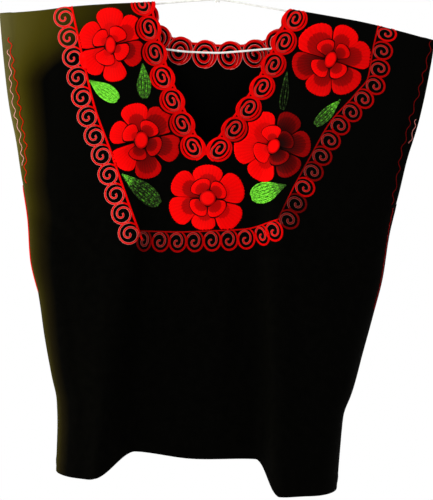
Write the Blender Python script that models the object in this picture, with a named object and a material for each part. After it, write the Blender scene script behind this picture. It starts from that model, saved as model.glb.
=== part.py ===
"""A black huipil blouse on a plain wire hanger, as separate pieces, in metres.

+Z is up and -Y is the front. The origin is the point where a rail carries the hanger's hook.
Levels are counted downwards from the neck corners, and depths outwards from the mid plane.
"""

import math

import bmesh
import bpy
import numpy as np
from mathutils import Vector
from mathutils.bvhtree import BVHTree

MM = 0.001

# Driving dimensions, in millimetres
NECK_DROP = 112.0  # hook to the neck corners
WALL = 1.4  # cloth thickness
SEAM_GAP = 0.3  # between two pieces that are sewn together
LAY_GAP = 0.45  # between the cloth and what lies on it
ROOM = 1.3  # left between two pieces of embroidery
FOLD_RADIUS = 6.0  # of the cloth over the shoulder
UNDERARM = 251.0  # level where the side seams start
GAPE = ((0.0, 5.5), (0.5, 15.0), (0.85, 9.0), (1.0, 0.0))  # armhole edge: share of its drop, depth
SATIN = 1.3  # height of the raised satin stitching
WIRE_RADIUS = 1.3
HOOK_RADIUS = 20.0

# Width of the hanging body at each level, left and right of the neck's centre
OUTLINE_COLUMNS = ("level", "left", "right")
OUTLINE = (
    (-20, -289, 290),
    (50, -279, 283),
    (100, -271, 276),
    (150, -262, 267),
    (200, -250, 255),
    (250, -241, 247),
    (300, -231, 238),
    (350, -225, 233),
    (400, -211, 223),
    (450, -201, 212),
    (500, -189, 201),
    (530, -181, 191),
    (570, -178, 189),
    (640, -177, 187),
)

# The long folds. Each is a crown that stands out and a valley beside it, with its place and its depth
FOLD_COLUMNS = (
    "level", "side_width", "side_depth", "crown_l", "crown_l_depth", "valley_l", "valley_l_depth",
    "mid_depth", "valley_r", "valley_r_depth", "crown_r", "crown_r_depth",
)
FRONT_FOLDS = (
    (-20, 40, 6, -150, 6, -90, 6, 6, 90, 6, 150, 6),
    (60, 58, 12, -140, 12.5, -90, 12, 12, 88, 12, 135, 12.5),
    (130, 66, 22, -125, 23, -85, 21, 22, 84, 21, 110, 24),
    (190, 68, 33, -110, 35, -80, 31, 33, 78, 31, 94, 37),
    (250, 62, 44, -98, 48, -75, 39, 43, 73, 39, 86, 51),
    (310, 58, 53, -92, 61, -72, 44, 49, 70, 43, 83, 65),
    (450, 52, 68, -108, 77, -74, 38, 44, 77, 36, 94, 80),
    (640, 45, 76, -124, 86, -76, 30, 35, 83, 28, 110, 89),
)
BACK_FOLDS = (
    (-20, 40, 6, -150, 6, -80, 6, 6, 84, 6, 150, 6),
    (60, 56, 10, -145, 10.5, -74, 10, 10, 80, 10, 148, 10.5),
    (130, 64, 18, -138, 20, -70, 17, 18, 76, 16, 140, 19),
    (250, 62, 38, -126, 43, -62, 31, 36, 70, 30, 134, 41),
    (310, 58, 47, -120, 53, -58, 35, 42, 68, 34, 130, 51),
    (450, 52, 60, -118, 68, -57, 33, 45, 67, 31, 127, 66),
    (640, 45, 68, -118, 77, -56, 28, 42, 68, 26, 125, 75),
)

# Level of the shoulder fold along its length
SHOULDER_COLUMNS = ("x", "level")
SHOULDER = (
    (-290, 30), (-235, 23), (-185, 14.5), (-140, 9), (-90, 4),
    (0, -8), (90, 3), (140, 9), (190, 15.5), (235, 24), (290, 36),
)
# Level of the hem at each guide line, left to right
HEM_FRONT = (617, 617, 615, 585, 590, 587, 625, 624, 621)
HEM_BACK = (617, 611, 610, 589, 593, 589, 614, 614, 621)
# Cells between neighbouring guide lines, left to right
CELLS_FRONT = (5, 4, 4, 3, 3, 4, 4, 5)
CELLS_BACK = (4, 4, 3, 3, 3, 3, 4, 4)
ROWS_FRONT = 24
ROWS_BACK = 20
FOLD_ANGLES = (0, 30, 60)
# A panel is cut from one piece of cloth. Its solid is in parts, so that each of them is simple in shape
BANDS = ("yoke", "waist", "hem")
SIDES = ("left", "middle", "right")
BREAKS_FRONT = (11, 19)  # rows where one band ends and the next begins
BREAKS_BACK = (10, 16)
FINER = 4
FOLD_SOFTNESS = 7.0  # along the cloth, over which a fold's corners are rounded

# Embroidered trims. A path is the middle of a row of scrolls, as x and level. Lead is how many steps of
# the first scroll the shoulder fold takes, and an end is cut straight there or goes round its last scroll
STEPS_A_SCROLL = 6
LIFT_ROUNDS = 6
TRIM_COLUMNS = ("name", "scrolls", "lead", "start", "end", "path")
NECK_TRIMS = (
    ("neck_trim_front_left", 7, 2, "cut", "round", ((-97, 4), (-87, 38), (-70, 92), (-51, 133), (-22, 190), (-13, 206))),
    ("neck_trim_front_right", 7, 0, "cut", "round", ((107, 4), (89, 48), (64, 108), (46, 140), (12, 193), (3, 206))),
)
BACK_TRIM = (
    "neck_trim_back", 8, 0, "cut", "cut",
    ((-97, 6), (-84, 36), (-60, 57), (-30, 63), (0, 64), (30, 63), (62, 57), (90, 36), (106, 6)),
)
BORDERS = (
    ("yoke_border_left", 13, 5, "cut", "round", ((-202, 17), (-182, 88), (-163, 150), (-138, 208), (-113, 268), (-91, 320))),
    ("yoke_border_bottom", 9, 0, "round", "round", ((-85, 316), (-40, 315), (10, 311), (55, 306), (97, 291))),
    ("yoke_border_right", 13, 0, "round", "cut",
     ((101, 290), (121, 243), (142, 200), (163, 159), (194, 120), (212, 93), (217, 55), (223, 22))),
)
NECK_MIDDLE = -4.0  # where the two sides of the neck meet, and how far down
NECK_DEPTH = 188.0
NECK_REACH = (15.5, 11.0)  # half width of a neck scroll, and of the waist between two
BORDER_REACH = (12.0, 8.0)
LINE_REACH = 13.0  # from a border's path to the straight line inside it

ROSE_COLUMNS = ("x", "level", "width", "height", "turn")
ROSES = (
    (-134, 64, 45, 47, 12),
    (-85, 187, 46, 48, 25),
    (-1, 255, 50, 43, 0),
    (80, 184, 48, 49, 10),
    (150, 69, 49, 48, 20),
)
PETALS = 6
PETAL_NOTCH = 0.2  # how far the outline pulls in between two petals
ROSE_RINGS = (0.22, 0.58, 1.0)
ROSE_HEIGHTS = (2.4, 2.2, 1.0)  # of the middle, the inner petals and the outer rim

LEAF_COLUMNS = ("tip_x", "tip_level", "end_x", "end_level", "width")
LEAVES = (
    (-160, 112, -121, 136, 20),
    (-88, 87, -83, 132, 18),
    (-109, 232, -60, 268, 22),
    (97, 236, 58, 251, 26),
    (161, 122, 127, 157, 16),
    (95, 90, 92, 136, 12),
)
LEAF_STEPS = 7

# The hanger's thin bar, as x and level: it is bent, and lower on one side
BAR = ((-232, 58), (-150, 61.5), (-62, 64.5), (-19, 66.5), (33, 62), (69, 57), (150, 50), (232, 47))
ARM_END = 232.0
APEX_LEVEL = -12.0
COLLAR_LENGTH = 22.0
COLLAR_RADIUS = 3.0

BLACK_CLOTH = ((0.012, 0.012, 0.011), 0.85, 0.0)
RED_THREAD = ((0.80, 0.01, 0.01), 0.5, 0.0)
GREEN_THREAD = ((0.10, 0.55, 0.05), 0.5, 0.0)
WHITE_WIRE = ((0.85, 0.85, 0.83), 0.35, 0.0)


def clear_scene():
    for old in list(bpy.data.objects):
        bpy.data.objects.remove(old)


def material(name, look):
    colour, roughness, metallic = look
    made = bpy.data.materials.get(name) or bpy.data.materials.new(name)
    made.use_nodes = True
    made.diffuse_color = (*colour, 1.0)
    shader = made.node_tree.nodes["Principled BSDF"]
    shader.inputs["Base Color"].default_value = (*colour, 1.0)
    shader.inputs["Roughness"].default_value = roughness
    shader.inputs["Metallic"].default_value = metallic
    return made


def smooth_curve(knots, values, at):
    """Monotone cubic through the knots: it never overshoots between two of them."""
    knots, values = np.asarray(knots, float), np.asarray(values, float)
    at = np.clip(np.asarray(at, float), knots[0], knots[-1])
    steps = np.diff(knots)
    slopes = np.diff(values) / steps
    tangents = np.zeros(len(knots))
    tangents[0], tangents[-1] = slopes[0], slopes[-1]
    same_way = slopes[:-1] * slopes[1:] > 0
    inner = np.zeros(len(slopes) - 1)
    first = 2 * steps[1:] + steps[:-1]
    second = steps[1:] + 2 * steps[:-1]
    safe = np.where(same_way)[0]
    inner[safe] = (first + second)[safe] / (first[safe] / slopes[:-1][safe] + second[safe] / slopes[1:][safe])
    tangents[1:-1] = inner
    cell = np.clip(np.searchsorted(knots, at, side="right") - 1, 0, len(steps) - 1)
    share = (at - knots[cell]) / steps[cell]
    near = (1 + 2 * share) * (1 - share) ** 2
    far = share**2 * (3 - 2 * share)
    return (
        values[cell] * near
        + values[cell + 1] * far
        + steps[cell] * (tangents[cell] * share * (1 - share) ** 2 - tangents[cell + 1] * share**2 * (1 - share))
    )


def column(table, columns, name, at):
    """One named column of a table, read at the levels (or places) given."""
    index = columns.index(name)
    return smooth_curve([row[0] for row in table], [row[index] for row in table], at)


def shoulder_level(x):
    return column(SHOULDER, SHOULDER_COLUMNS, "level", x)


def guide_x(folds, name, level):
    """Where a guide line of the cloth lies at a level: its edges, its rounded sides, crowns, valleys and middle."""
    if name == "mid":
        return 0.0 * level
    side, where = name.split("_")[1], name.split("_")[0]
    edge = column(OUTLINE, OUTLINE_COLUMNS, "left" if side == "l" else "right", level)
    if where == "edge":
        return edge
    if where == "side":
        inwards = 1 if side == "l" else -1
        return edge + inwards * column(folds, FOLD_COLUMNS, "side_width", level)
    return column(folds, FOLD_COLUMNS, name, level)


def guide_depth(folds, name, level):
    where = name.split("_")[0]
    if where == "edge":
        tip = shoulder_level(guide_x(folds, name, level))
        return smooth_curve(*zip(*GAPE), (level - tip) / (UNDERARM - tip))
    if where == "side":
        return column(folds, FOLD_COLUMNS, "side_depth", level)
    return column(folds, FOLD_COLUMNS, name + "_depth", level)


GUIDES = ("edge_l", "side_l", "crown_l", "valley_l", "mid", "valley_r", "crown_r", "side_r", "edge_r")


def softened(x, out, fine):
    """A section with its corners rounded over a short way along the cloth, its two edges kept."""
    length = np.concatenate([[0], np.cumsum(np.hypot(np.diff(x), np.diff(out)))])
    even = np.linspace(0, length[-1], fine)
    reach = max(3, int(2.5 * FOLD_SOFTNESS * fine / length[-1]))
    weights = np.exp(-0.5 * (np.arange(-reach, reach + 1) * length[-1] / fine / FOLD_SOFTNESS) ** 2)
    weights /= weights.sum()
    result = []
    for values in (x, out):
        line = np.interp(even, length, values)
        before = 2 * line[0] - line[reach:0:-1]
        after = 2 * line[-1] - line[-2:-2 - reach:-1]
        blurred = np.convolve(np.concatenate([before, line, after]), weights, mode="valid")
        result.append(np.interp(length, even, blurred))
    return result


def section(folds, levels, cells):
    """Points across the cloth, from edge to edge, through one level on each guide line: x, depth and level."""
    finer = [count * FINER for count in cells]
    across, out, down = plain_section(folds, levels, finer)
    across, out = softened(across, out, 400)
    return across[::FINER], out[::FINER], down[::FINER]


def plain_section(folds, levels, cells):
    """A section through its guide lines: a quarter ellipse at each side, and soft folds between."""
    x = np.array([float(guide_x(folds, name, level)) for name, level in zip(GUIDES, levels)])
    depth = np.array([float(guide_depth(folds, name, level)) for name, level in zip(GUIDES, levels)])
    places = np.concatenate([guide + np.arange(count) / count for guide, count in enumerate(cells)] + [[8.0]])
    across = np.interp(places, range(9), x)
    out = smooth_curve(x[1:8], depth[1:8], across)
    for edge, side in ((0, 1), (8, 7)):
        near = np.abs(places - edge) < 1
        angle = np.abs(places[near] - edge) * math.pi / 2
        across[near] = x[side] + (x[edge] - x[side]) * np.cos(angle)
        out[near] = depth[edge] + (depth[side] - depth[edge]) * np.sin(angle)
    return across, out, smooth_curve(range(9), levels, places)


def cloth_points(folds, hem, cells, rows, facing):
    """The outer face of a panel as rows of points, from the shoulder fold down to the hem."""
    starts = np.array([float(shoulder_level(guide_x(folds, name, 20.0))) for name in GUIDES])
    rounding = [FOLD_RADIUS * (1 - math.cos(math.radians(a))) for a in FOLD_ANGLES]
    shares = np.arange(rows + 1) / rows
    drops = [np.full(9, q) for q in rounding]
    drops += [FOLD_RADIUS + share * (np.array(hem) - starts - FOLD_RADIUS) for share in shares]
    parts = [0.0] * len(rounding) + list(shares)
    guide_places = np.concatenate([guide + np.arange(n) / n for guide, n in enumerate(cells)] + [[8.0]])
    plain_starts = smooth_curve(range(9), starts, guide_places)
    grid = []
    for drop, part in zip(drops, parts):
        across, out, down = section(folds, starts + drop, cells)
        down = down + (1 - part) * (shoulder_level(across) - plain_starts)
        below = np.clip(smooth_curve(range(9), drop, guide_places) / FOLD_RADIUS, 0, 1)
        out = out * np.sqrt(1 - (1 - below) ** 2) + SEAM_GAP / 2
        grid.append(np.stack([across, facing * out, -(NECK_DROP + down)], axis=1))
    return np.array(grid)


def grid_normals(grid, facing):
    """Outward normals of a grid of points, square to the mid plane where two panels are sewn together."""
    along, down = np.gradient(grid, axis=1), np.gradient(grid, axis=0)
    normals = np.cross(along, down)
    normals /= np.linalg.norm(normals, axis=2, keepdims=True)
    if normals[:, :, 1].mean() * facing < 0:
        normals = -normals
    sewn = np.abs(grid[:, :, 1]) < SEAM_GAP
    normals[sewn, 1] = 0
    return normals / np.linalg.norm(normals, axis=2, keepdims=True)


def grid_faces(rows, columns):
    return [
        (r * columns + c, r * columns + c + 1, (r + 1) * columns + c + 1, (r + 1) * columns + c)
        for r in range(rows - 1)
        for c in range(columns - 1)
    ]


def solid(name, points, normals, faces, inner, outer, look):
    """A closed wall on an open surface, from inner to outer millimetres along the normals."""
    count = len(points)
    normals = np.asarray(normals)
    low = points + normals * np.reshape(inner, (-1, 1))
    high = points + normals * np.reshape(outer, (-1, 1))
    corner = points[list(faces[0])]
    turned = np.dot(np.cross(corner[1] - corner[0], corner[2] - corner[1]), normals[faces[0][0]]) < 0
    if turned:
        faces = [tuple(reversed(face)) for face in faces]
    edges = {(a, b) for face in faces for a, b in zip(face, face[1:] + face[:1])}
    rim = [(a, a + count, b + count, b) for a, b in edges if (b, a) not in edges]
    below = [tuple(reversed(face)) for face in faces]
    above = [tuple(index + count for index in face) for face in faces]
    mesh = bpy.data.meshes.new(name)
    vertices = np.concatenate([low, high]) * MM
    mesh.from_pydata(vertices.tolist(), [], below + above + [tuple(reversed(face)) for face in rim])
    mesh.validate()
    tidy = bmesh.new()
    tidy.from_mesh(mesh)
    bmesh.ops.triangulate(tidy, faces=tidy.faces)
    bmesh.ops.recalc_face_normals(tidy, faces=tidy.faces)
    tidy.to_mesh(mesh)
    tidy.free()
    mesh.shade_smooth()
    made = bpy.data.objects.new(name, mesh)
    bpy.context.scene.collection.objects.link(made)
    mesh.materials.append(look)
    return made


def route(points, count, cloth):
    """Places evenly far apart along a smooth line on the cloth, its sideways directions, and its length."""
    points = np.array(points, float)
    along = np.concatenate([[0], np.cumsum(np.linalg.norm(np.diff(points, axis=0), axis=1))])
    fine = np.linspace(0, along[-1], 240)
    line = np.stack([smooth_curve(along, points[:, i], fine) for i in (0, 1)], axis=1)
    on_cloth = np.array([tuple(cloth.lay(*place)[0]) for place in line])
    length = np.concatenate([[0], np.cumsum(np.linalg.norm(np.diff(on_cloth, axis=0), axis=1))])
    even = np.linspace(0, length[-1], count + 1)
    places = np.stack([np.interp(even, length, line[:, i]) for i in (0, 1)], axis=1)
    ahead = np.gradient(places, axis=0)
    ahead /= np.linalg.norm(ahead, axis=1, keepdims=True)
    sideways = np.stack([-ahead[:, 1], ahead[:, 0]], axis=1)
    return places, sideways, length[-1]


def scallop(step, reach, pitch, ending):
    """Half width of a row of round scrolls at a step along it. At a round ending there is no waist."""
    crest, waist = reach
    off = ((step % STEPS_A_SCROLL) / STEPS_A_SCROLL - 0.5) * pitch
    return max(1.0 if ending else waist, math.sqrt(max(crest**2 - off**2, 0)))


def trim_rails(row, reach, line, cloth):
    """The two edges and the middle of an embroidered trim. On its left goes the straight line, if it has one."""
    _, scrolls, lead, start, end, path = row
    count = scrolls * STEPS_A_SCROLL - lead
    places, sideways, length = route(path, count, cloth)
    pitch = length / count * STEPS_A_SCROLL
    half = STEPS_A_SCROLL // 2
    scrolled, straight = [], []
    for step in range(count + 1):
        ending = (start == "round" and step < half) or (end == "round" and step > count - half)
        wide = scallop(step + lead, reach, pitch, ending)
        scrolled.append(wide)
        straight.append(line if line and not ending else wide)
    return [
        places - sideways * np.reshape(straight, (-1, 1)),
        places,
        places + sideways * np.reshape(scrolled, (-1, 1)),
    ]


class Cloth:
    """The outer face of a panel, for laying things on it."""

    def __init__(self, grid, facing):
        rows, columns = grid.shape[:2]
        self.facing = facing
        self.tree = BVHTree.FromPolygons(grid.reshape(-1, 3).tolist(), split(grid_faces(rows, columns)))

    def lay(self, x, level):
        """The point of the cloth behind a place seen from its own side, and the cloth's normal there."""
        level = max(level, float(shoulder_level(x)) + 0.3)
        start = Vector((x, self.facing * 400, -(NECK_DROP + level)))
        hit, normal, _, _ = self.tree.ray_cast(start, Vector((0, -self.facing, 0)))
        if hit is None:
            raise ValueError(f"no cloth behind {x:.0f}, {level:.0f}")
        if normal.y * self.facing < 0:
            normal = -normal
        return hit, normal

    def clearance(self, point):
        """How far a point stands off the cloth: negative inside it."""
        near, normal, _, distance = self.tree.find_nearest(Vector(point))
        if normal.y * self.facing < 0:
            normal = -normal
        return math.copysign(distance, (Vector(point) - near).dot(normal))


def split(faces):
    """Faces with four corners as pairs of triangles."""
    parts = []
    for face in faces:
        parts.append(face[:3])
        if len(face) == 4:
            parts.append((face[0], face[2], face[3]))
    return parts


def lifts(cloth, points, normals, faces):
    """How far each point is raised so that no side or middle of a face comes nearer the cloth than LAY_GAP."""
    lift = np.full(len(points), LAY_GAP)
    for _ in range(LIFT_ROUNDS):
        raised = points + normals * lift[:, None]
        more = np.zeros(len(points))
        for face in faces:
            corners = [raised[index] for index in face]
            tests = [(sum(corners) / 3, face)]
            for turn in range(3):
                pair = (turn, (turn + 1) % 3)
                tests.append(((corners[pair[0]] + corners[pair[1]]) / 2, [face[pair[0]], face[pair[1]]]))
            for place, owners in tests:
                short = LAY_GAP * 0.8 - cloth.clearance(place)
                for owner in owners:
                    more[owner] = max(more[owner], short)
        lift += more
        if more.max() < 0.01:
            break
    return lift


def laid(name, cloth, flat, faces, heights, look):
    """A raised patch on the cloth: flat is x and level, heights the stitching's height at each point."""
    found = [cloth.lay(*place) for place in flat]
    points = np.array([tuple(hit) for hit, _ in found])
    faces = split(faces)
    normals = even_normals(np.array([tuple(normal) for _, normal in found]), faces)
    lift = lifts(cloth, points, normals, faces)
    return solid(name, points, normals, faces, lift, lift + np.asarray(heights, float), look)


def even_normals(normals, faces):
    """Each normal averaged with those beside it, so that a patch bends as softly as its cloth."""
    total = normals.copy()
    for face in faces:
        middle = sum(normals[index] for index in face)
        for index in face:
            total[index] += middle
    return total / np.linalg.norm(total, axis=1, keepdims=True)


def strip(name, cloth, rails, look):
    """An embroidered strip between two rails, higher along its middle."""
    count = len(rails[0])
    flat = np.concatenate(rails)
    faces = []
    for rail in range(len(rails) - 1):
        for step in range(count - 1):
            near, far = rail * count + step, (rail + 1) * count + step
            faces.append((near, near + 1, far + 1, far))
    heights = np.repeat([SATIN * 0.8, SATIN, SATIN * 0.8], count)
    return laid(name, cloth, flat, faces, heights, look)


def discs(rails):
    """The round places that a strip takes up, as x, level and radius."""
    reach = np.maximum(*[np.linalg.norm(rails[i] - rails[1], axis=1) for i in (0, 2)])
    return [(*place, wide) for place, wide in zip(rails[1], reach)]


def drawn_in(middle, place, taken):
    """A place moved towards a middle until it is clear of what is already sewn on."""
    middle, place = np.array(middle, float), np.array(place, float)
    if not taken:
        return tuple(place)
    others = np.array(taken)
    for _ in range(40):
        off = np.hypot(others[:, 0] - place[0], others[:, 1] - place[1]) - others[:, 2]
        if off.min() > ROOM:
            break
        place = middle + (place - middle) * 0.97
    return tuple(place)


def rose(name, cloth, row, look, taken):
    """A flower: round middle, inner petals, and an outline of six outer petals."""
    x, level, width, height, turn = row
    angles = np.arange(PETALS * 5) / (PETALS * 5) * 2 * math.pi
    flat, heights, faces = [(x, level)], [ROSE_HEIGHTS[0]], []
    count = len(angles)
    for ring, (share, tall) in enumerate(zip(ROSE_RINGS, ROSE_HEIGHTS)):
        notch = 1 - PETAL_NOTCH * share * (1 - np.abs(np.sin(PETALS / 2 * angles)) ** 0.6)
        reach = share * notch
        bend = angles + math.radians(turn)
        ring_places = list(zip(x + width * reach * np.cos(bend), level + height * reach * np.sin(bend)))
        if share == 1.0:
            ring_places = [drawn_in((x, level), place, taken) for place in ring_places]
            taken += [(*place, 0.5) for place in ring_places]
        flat += ring_places
        heights += [tall] * count
        start = 1 + ring * count
        for step in range(count):
            after = (step + 1) % count
            if ring == 0:
                faces.append((0, start + step, start + after))
            else:
                faces.append((start - count + step, start + step, start + after, start - count + after))
    return laid(name, cloth, flat, faces, heights, look)


def leaf(name, cloth, row, look, taken):
    """A drop-shaped leaf with a pointed tip and a round end, higher along its vein."""
    tip_x, tip_level, end_x, end_level, width = row
    tip, end = np.array([tip_x, tip_level]), np.array([end_x, end_level])
    ahead = (end - tip) / np.linalg.norm(end - tip)
    side = np.array([-ahead[1], ahead[0]])
    flat, heights, faces = [tuple(tip)], [SATIN * 0.7], []
    for step in range(1, LEAF_STEPS):
        share = step / LEAF_STEPS
        half = width / 2 * math.sin(math.pi * share**1.6) ** 0.8
        middle = tip + (end - tip) * share
        left = drawn_in(middle, middle + side * half, taken)
        right = drawn_in(middle, middle - side * half, taken)
        flat += [left, tuple(middle), right]
        heights += [SATIN * 0.7, SATIN, SATIN * 0.7]
    flat.append(tuple(end))
    heights.append(SATIN * 0.7)
    last = len(flat) - 1
    faces += [(0, 1, 2), (0, 2, 3), (last, last - 2, last - 3), (last, last - 1, last - 2)]
    for step in range(LEAF_STEPS - 2):
        a = 1 + 3 * step
        faces += [(a, a + 3, a + 4, a + 1), (a + 1, a + 4, a + 5, a + 2)]
    return laid(name, cloth, flat, faces, heights, look)


def neck_cutter(name, outline, near, far):
    """A tall prism through one panel. Its outline is x and level, and it reaches from near to far in depth."""
    count = len(outline)
    vertices = [(x * MM, y * MM, -(NECK_DROP + level) * MM) for y in (near, far) for x, level in outline]
    faces = [tuple(range(count)), tuple(reversed(range(count, 2 * count)))]
    faces += [(i, (i + 1) % count, count + (i + 1) % count, count + i) for i in range(count)]
    mesh = bpy.data.meshes.new(name)
    mesh.from_pydata(vertices, [], faces)
    shape = bmesh.new()
    shape.from_mesh(mesh)
    bmesh.ops.recalc_face_normals(shape, faces=shape.faces)
    shape.to_mesh(mesh)
    shape.free()
    made = bpy.data.objects.new(name, mesh)
    bpy.context.scene.collection.objects.link(made)
    made.hide_render = True
    made.display_type = "WIRE"
    return made


def cut(panel, cutter):
    modifier = panel.modifiers.new("neck", "BOOLEAN")
    modifier.operation = "DIFFERENCE"
    modifier.object = cutter


def tube(name, points, look, radius=WIRE_RADIUS):
    """A round wire through x and level points in the mid plane."""
    data = bpy.data.curves.new(name, "CURVE")
    data.dimensions = "3D"
    data.bevel_depth = radius * MM
    data.bevel_resolution = 2
    data.use_fill_caps = True
    spline = data.splines.new("POLY")
    spline.points.add(len(points) - 1)
    for point, (x, level) in zip(spline.points, points):
        point.co = (x * MM, 0, -(NECK_DROP + level) * MM, 1)
    made = bpy.data.objects.new(name, data)
    bpy.context.scene.collection.objects.link(made)
    data.materials.append(look)
    return made


def arc(centre_x, centre_level, radius, start, end, count):
    """Points on a circle in the mid plane. Angles are in degrees, 90 is upwards."""
    angles = np.radians(np.linspace(start, end, count))
    return [(centre_x + radius * math.cos(a), centre_level - radius * math.sin(a)) for a in angles]


def arm_level(x):
    """The middle of the wire under the shoulder fold."""
    seat = shoulder_level(np.abs([90.0]) * np.sign(x))[0] + WALL + SEAM_GAP + WIRE_RADIUS
    if abs(x) >= 90:
        return float(shoulder_level(x)) + WALL + SEAM_GAP + WIRE_RADIUS
    return APEX_LEVEL + COLLAR_LENGTH / 3 + (seat - APEX_LEVEL - COLLAR_LENGTH / 3) * abs(x) / 90


def hanger(look):
    """A bent wire hanger: hook, twisted collar, two arms with rounded ends, and the thin bar between them."""
    centre = HOOK_RADIUS - WIRE_RADIUS - NECK_DROP
    collar_top = APEX_LEVEL - COLLAR_LENGTH / 2
    hook = arc(0, centre, HOOK_RADIUS, 200, 0, 15)
    hook += [(17.5, centre + 10), (9, centre + 19), (2, centre + 27), (0, centre + 36)]
    hook += [(0, centre + 50), (0, collar_top - SEAM_GAP)]
    tube("hanger_hook", hook, look)
    collar = [(0, collar_top), (0, collar_top + COLLAR_LENGTH)]
    tube("hanger_collar", collar, look, COLLAR_RADIUS)
    for side, sign in (("left", -1), ("right", 1)):
        start = COLLAR_RADIUS + SEAM_GAP
        places = [start, 45, 90, 115, 140, 165, 190, 212, ARM_END]
        line = [(sign * x, arm_level(sign * x)) for x in places]
        top = line[-1][1]
        bottom = BAR[0 if sign < 0 else -1][1]
        radius = (bottom - top) / 2
        turn = arc(0, 0, radius, 90, -90, 7)[1:]
        line += [(sign * (ARM_END + x), top + radius + level) for x, level in turn]
        tube(f"hanger_arm_{side}", line, look)
    ends = [(BAR[0][0] + SEAM_GAP, BAR[0][1]), *BAR[1:-1], (BAR[-1][0] - SEAM_GAP, BAR[-1][1])]
    xs = np.linspace(ends[0][0], ends[-1][0], 15)
    levels = smooth_curve([x for x, _ in ends], [level for _, level in ends], xs)
    tube("hanger_bar", list(zip(xs, levels)), look)


def slice_of(grid, normals, rows, columns):
    """Part of a panel's grid, drawn in by half a seam gap where it meets the next part."""
    (top, bottom), (left, right) = rows, columns
    points = grid[top:bottom + 1, left:right + 1].copy()
    sides = (
        (top > 0, np.s_[0, :], np.s_[1, :]),
        (bottom < grid.shape[0] - 1, np.s_[-1, :], np.s_[-2, :]),
        (left > 0, np.s_[:, 0], np.s_[:, 1]),
        (right < grid.shape[1] - 1, np.s_[:, -1], np.s_[:, -2]),
    )
    for meets, rim, inside in sides:
        if meets:
            inwards = points[inside] - points[rim]
            points[rim] += inwards / np.linalg.norm(inwards, axis=1, keepdims=True) * SEAM_GAP / 2
    return points, normals[top:bottom + 1, left:right + 1]


def panel(name, folds, hem, cells, rows, facing, breaks, look):
    """A panel in three bands, each with a left, a middle and a right part that meet in the valleys."""
    grid = cloth_points(folds, hem, cells, rows, facing)
    normals = grid_normals(grid, facing)
    bands = list(zip((0, *breaks), (*breaks, len(grid) - 1)))
    valleys = (sum(cells[:3]), sum(cells[:5]))
    columns = list(zip((0, *valleys), (*valleys, sum(cells))))
    parts = {}
    for band, span in zip(BANDS, bands):
        for side, across in zip(SIDES, columns):
            points, outward = slice_of(grid, normals, span, across)
            faces = split(grid_faces(*points.shape[:2]))
            part = f"{name}_{band}_{side}"
            parts[band, side] = solid(
                part, points.reshape(-1, 3), outward.reshape(-1, 3), faces, -WALL, 0.0, look,
            )
    return parts, Cloth(grid, facing)


def neck_line(path, inwards, cloth):
    """The cut edge of the neck: a trim's path moved towards the opening, under the scrolls' waists."""
    places, sideways, _ = route(path, 12, cloth)
    return [tuple(place) for place in places + inwards * sideways * (NECK_REACH[1] - 1.5)]


def front(cloth_look, red, green):
    parts, cloth = panel("front", FRONT_FOLDS, HEM_FRONT, CELLS_FRONT, ROWS_FRONT, -1, BREAKS_FRONT, cloth_look)
    left = neck_line(NECK_TRIMS[0][-1], -1, cloth)
    right = neck_line(NECK_TRIMS[1][-1], 1, cloth)
    above = [place for place in left if place[1] < NECK_DEPTH - 9] + [(NECK_MIDDLE, NECK_DEPTH)]
    above += [place for place in reversed(right) if place[1] < NECK_DEPTH - 9]
    cutter = neck_cutter("neck_front", [(above[0][0] - 1, -40), *above, (above[-1][0] + 1, -40)], -60, 0.01)
    for side in SIDES:
        cut(parts["yoke", side], cutter)
    taken = []
    for row in NECK_TRIMS:
        rails = trim_rails(row, NECK_REACH, None, cloth)
        strip(row[0], cloth, rails, red)
        taken += discs(rails)
    for row in BORDERS:
        rails = trim_rails(row, BORDER_REACH, LINE_REACH, cloth)
        strip(row[0], cloth, rails, red)
        taken += discs(rails)
    for number, row in enumerate(ROSES, 1):
        rose(f"rose_{number}", cloth, row, red, taken)
    for number, row in enumerate(LEAVES, 1):
        leaf(f"leaf_{number}", cloth, row, green, taken)


def back(cloth_look, red):
    parts, cloth = panel("back", BACK_FOLDS, HEM_BACK, CELLS_BACK, ROWS_BACK, 1, BREAKS_BACK, cloth_look)
    edge = neck_line(BACK_TRIM[-1], -1, cloth)
    cutter = neck_cutter("neck_back", [(edge[0][0], -40), *edge, (edge[-1][0], -40)], -0.01, 60)
    for side in SIDES:
        cut(parts["yoke", side], cutter)
    strip(BACK_TRIM[0], cloth, trim_rails(BACK_TRIM, NECK_REACH, None, cloth), red)


def main():
    clear_scene()
    black = material("black_cloth", BLACK_CLOTH)
    red = material("red_thread", RED_THREAD)
    green = material("green_thread", GREEN_THREAD)
    front(black, red, green)
    back(black, red)
    hanger(material("white_wire", WHITE_WIRE))


main()
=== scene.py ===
"""The looks of a black embroidered huipil blouse on a wire hanger, built around its CAD frame.

Sizes are in millimetres in the tables and in metres in the meshes. Levels are counted downwards from
the neck corners, x runs to the right of someone facing the front, and the front faces -Y.
"""

import math

import bpy
import numpy as np
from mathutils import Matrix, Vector
from mathutils.bvhtree import BVHTree


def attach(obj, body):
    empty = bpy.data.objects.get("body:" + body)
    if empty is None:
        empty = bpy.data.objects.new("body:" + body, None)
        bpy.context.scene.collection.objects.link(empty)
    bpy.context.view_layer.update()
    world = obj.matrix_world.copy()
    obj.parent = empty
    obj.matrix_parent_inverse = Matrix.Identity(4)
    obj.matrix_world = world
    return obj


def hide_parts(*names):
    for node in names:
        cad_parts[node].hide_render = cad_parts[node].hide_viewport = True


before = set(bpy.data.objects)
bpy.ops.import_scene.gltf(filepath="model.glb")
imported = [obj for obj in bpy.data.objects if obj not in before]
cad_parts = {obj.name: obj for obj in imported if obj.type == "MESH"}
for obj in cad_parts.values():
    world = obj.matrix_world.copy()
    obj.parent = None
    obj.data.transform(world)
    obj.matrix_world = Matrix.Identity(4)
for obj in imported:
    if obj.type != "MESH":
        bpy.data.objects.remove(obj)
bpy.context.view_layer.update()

MM = 0.001
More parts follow.
